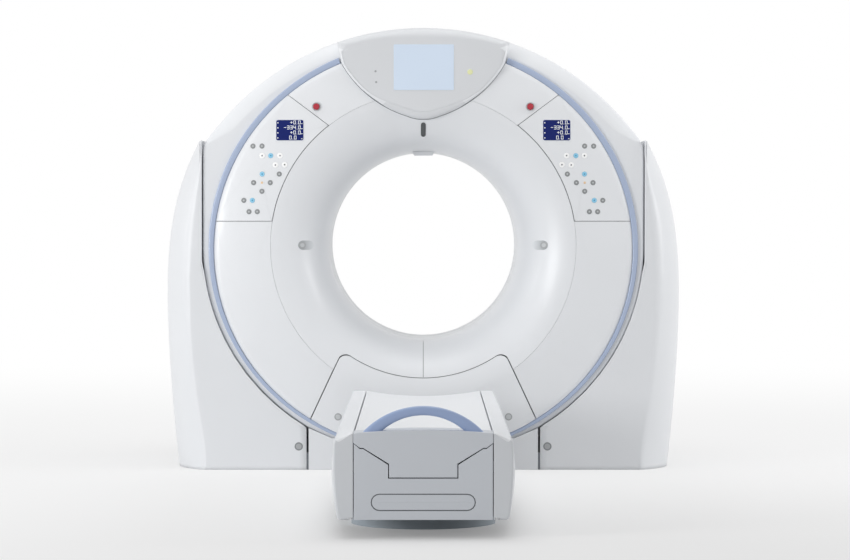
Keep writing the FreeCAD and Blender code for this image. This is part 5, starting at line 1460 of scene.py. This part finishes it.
def seenRays(tree):
    # 1 for rays that see the backdrop: straight from the camera, mirrored or through something clear
    rays = addNode(tree, "ShaderNodeLightPath")
    bent = addNode(tree, "ShaderNodeMath", {"operation": "MAXIMUM"},
                   {0: rays.outputs["Is Glossy Ray"], 1: rays.outputs["Is Transmission Ray"]})
    seen = addNode(tree, "ShaderNodeMath", {"operation": "MAXIMUM"},
                   {0: rays.outputs["Is Camera Ray"], 1: bent.outputs[0]})
    return seen.outputs[0]


def floorMaterial():
    # A matt pale floor that turns to the backdrop's white with distance, where it is seen:
    # 1 - (1 - t)^2, where t runs from 0 to 1 over the fade's reach round a point under the couch's foot.
    material, tree = newMaterial("paleFloor")
    skin = addNode(tree, "ShaderNodeBsdfDiffuse", {"Color": toLinear(stage["floorColour"])})
    place = addNode(tree, "ShaderNodeTexCoord")
    away = addNode(tree, "ShaderNodeVectorMath", {"operation": "DISTANCE", 1: stage["fadeMiddle"]},
                   {0: place.outputs["Object"]})
    near = addNode(tree, "ShaderNodeMapRange", {
        "From Min": stage["fadeStart"], "From Max": stage["fadeStart"] + stage["fadeReach"],
        "To Min": 1.0, "To Max": 0.0}, {"Value": away.outputs["Value"]})
    square = addNode(tree, "ShaderNodeMath", {"operation": "POWER", 1: 2.0}, {0: near.outputs["Result"]})
    far = addNode(tree, "ShaderNodeMath", {"operation": "SUBTRACT", 0: 1.0}, {1: square.outputs[0]})
    share = addNode(tree, "ShaderNodeMath", {"operation": "MULTIPLY"},
                    {0: far.outputs[0], 1: seenRays(tree)})
    white = addNode(tree, "ShaderNodeEmission", {"Color": (1, 1, 1, 1), "Strength": 1.0})
    ground = addNode(tree, "ShaderNodeMixShader", None,
                     {0: share.outputs[0], 1: skin.outputs[0], 2: white.outputs[0]})
    addNode(tree, "ShaderNodeOutputMaterial", None, {"Surface": ground.outputs[0]})
    return material


bpy.ops.mesh.primitive_plane_add(size=stage["floorSize"])
floor = bpy.context.object
floor.name = "floor"
floor.data.materials.append(floorMaterial())

world = bpy.data.worlds.new("studio")
bpy.context.scene.world = world
world.use_nodes = True
world.node_tree.nodes.clear()
backdrop = addNode(world.node_tree, "ShaderNodeBackground", {"Color": (1, 1, 1, 1), "Strength": 1.0})
glow = addNode(world.node_tree, "ShaderNodeBackground",
               {"Color": (1, 1, 1, 1), "Strength": stage["worldLevel"]})
either = addNode(world.node_tree, "ShaderNodeMixShader", None,
                 {0: seenRays(world.node_tree), 1: glow.outputs[0], 2: backdrop.outputs[0]})
addNode(world.node_tree, "ShaderNodeOutputWorld", None, {"Surface": either.outputs[0]})


def softBox(name, centre, target, size, power, spread=180):
    # An area lamp turned to its target, unseen by the camera. A grid narrows its spread, which keeps
    # its light off the floor.
    lamp = bpy.data.lights.new(name, "AREA")
    lamp.shape = "RECTANGLE"
    lamp.size, lamp.size_y = size
    lamp.energy = power
    lamp.spread = math.radians(spread)
    holder = addObject(name, lamp)
    holder.location = centre
    aim = Vector(target) - Vector(centre)
    holder.rotation_euler = aim.to_track_quat("-Z", "Y").to_euler()
    holder.visible_camera = False


softBox("lowLeft", (-5.0, -5.0, 1.6), (0, 0, 0.9), (2.5, 2.0), 46, 100)
softBox("topSoft", (0.0, -1.0, 5.5), (0, -0.5, 0.5), (4.0, 4.0), 77)
softBox("sideLeft", (-6.0, -0.8, 2.4), (0, 0, 0.9), (3.0, 3.0), 9.5, 80)
softBox("sideRight", (6.0, -0.8, 2.4), (0, 0, 0.9), (3.0, 3.0), 29, 80)

# The camera in metres. Its focal length and the point of the picture that it looks at are in the
# pixels of a picture of this size.
view = {
    "height": 1.074, "distance": 12.68, "focalPixels": 3000.0, "pixels": (850, 560), "sensor": 36.0,
    "lookAcross": 423.3, "lookDown": 207.0,
}
camera = bpy.data.cameras.new("photoView")
camera.sensor_width = view["sensor"]
camera.lens = view["sensor"] * view["focalPixels"] / view["pixels"][0]
turned, tilted = (math.atan((size / 2 - look) / view["focalPixels"]) for size, look in zip(
    view["pixels"], (view["lookAcross"], view["lookDown"])))
holder = addObject("photoView", camera)
holder.location = (0, -view["distance"], view["height"])
holder.rotation_euler = (math.radians(90) - tilted, 0, -turned)
bpy.context.scene.camera = holder
bpy.context.scene.view_settings.view_transform = "Standard"
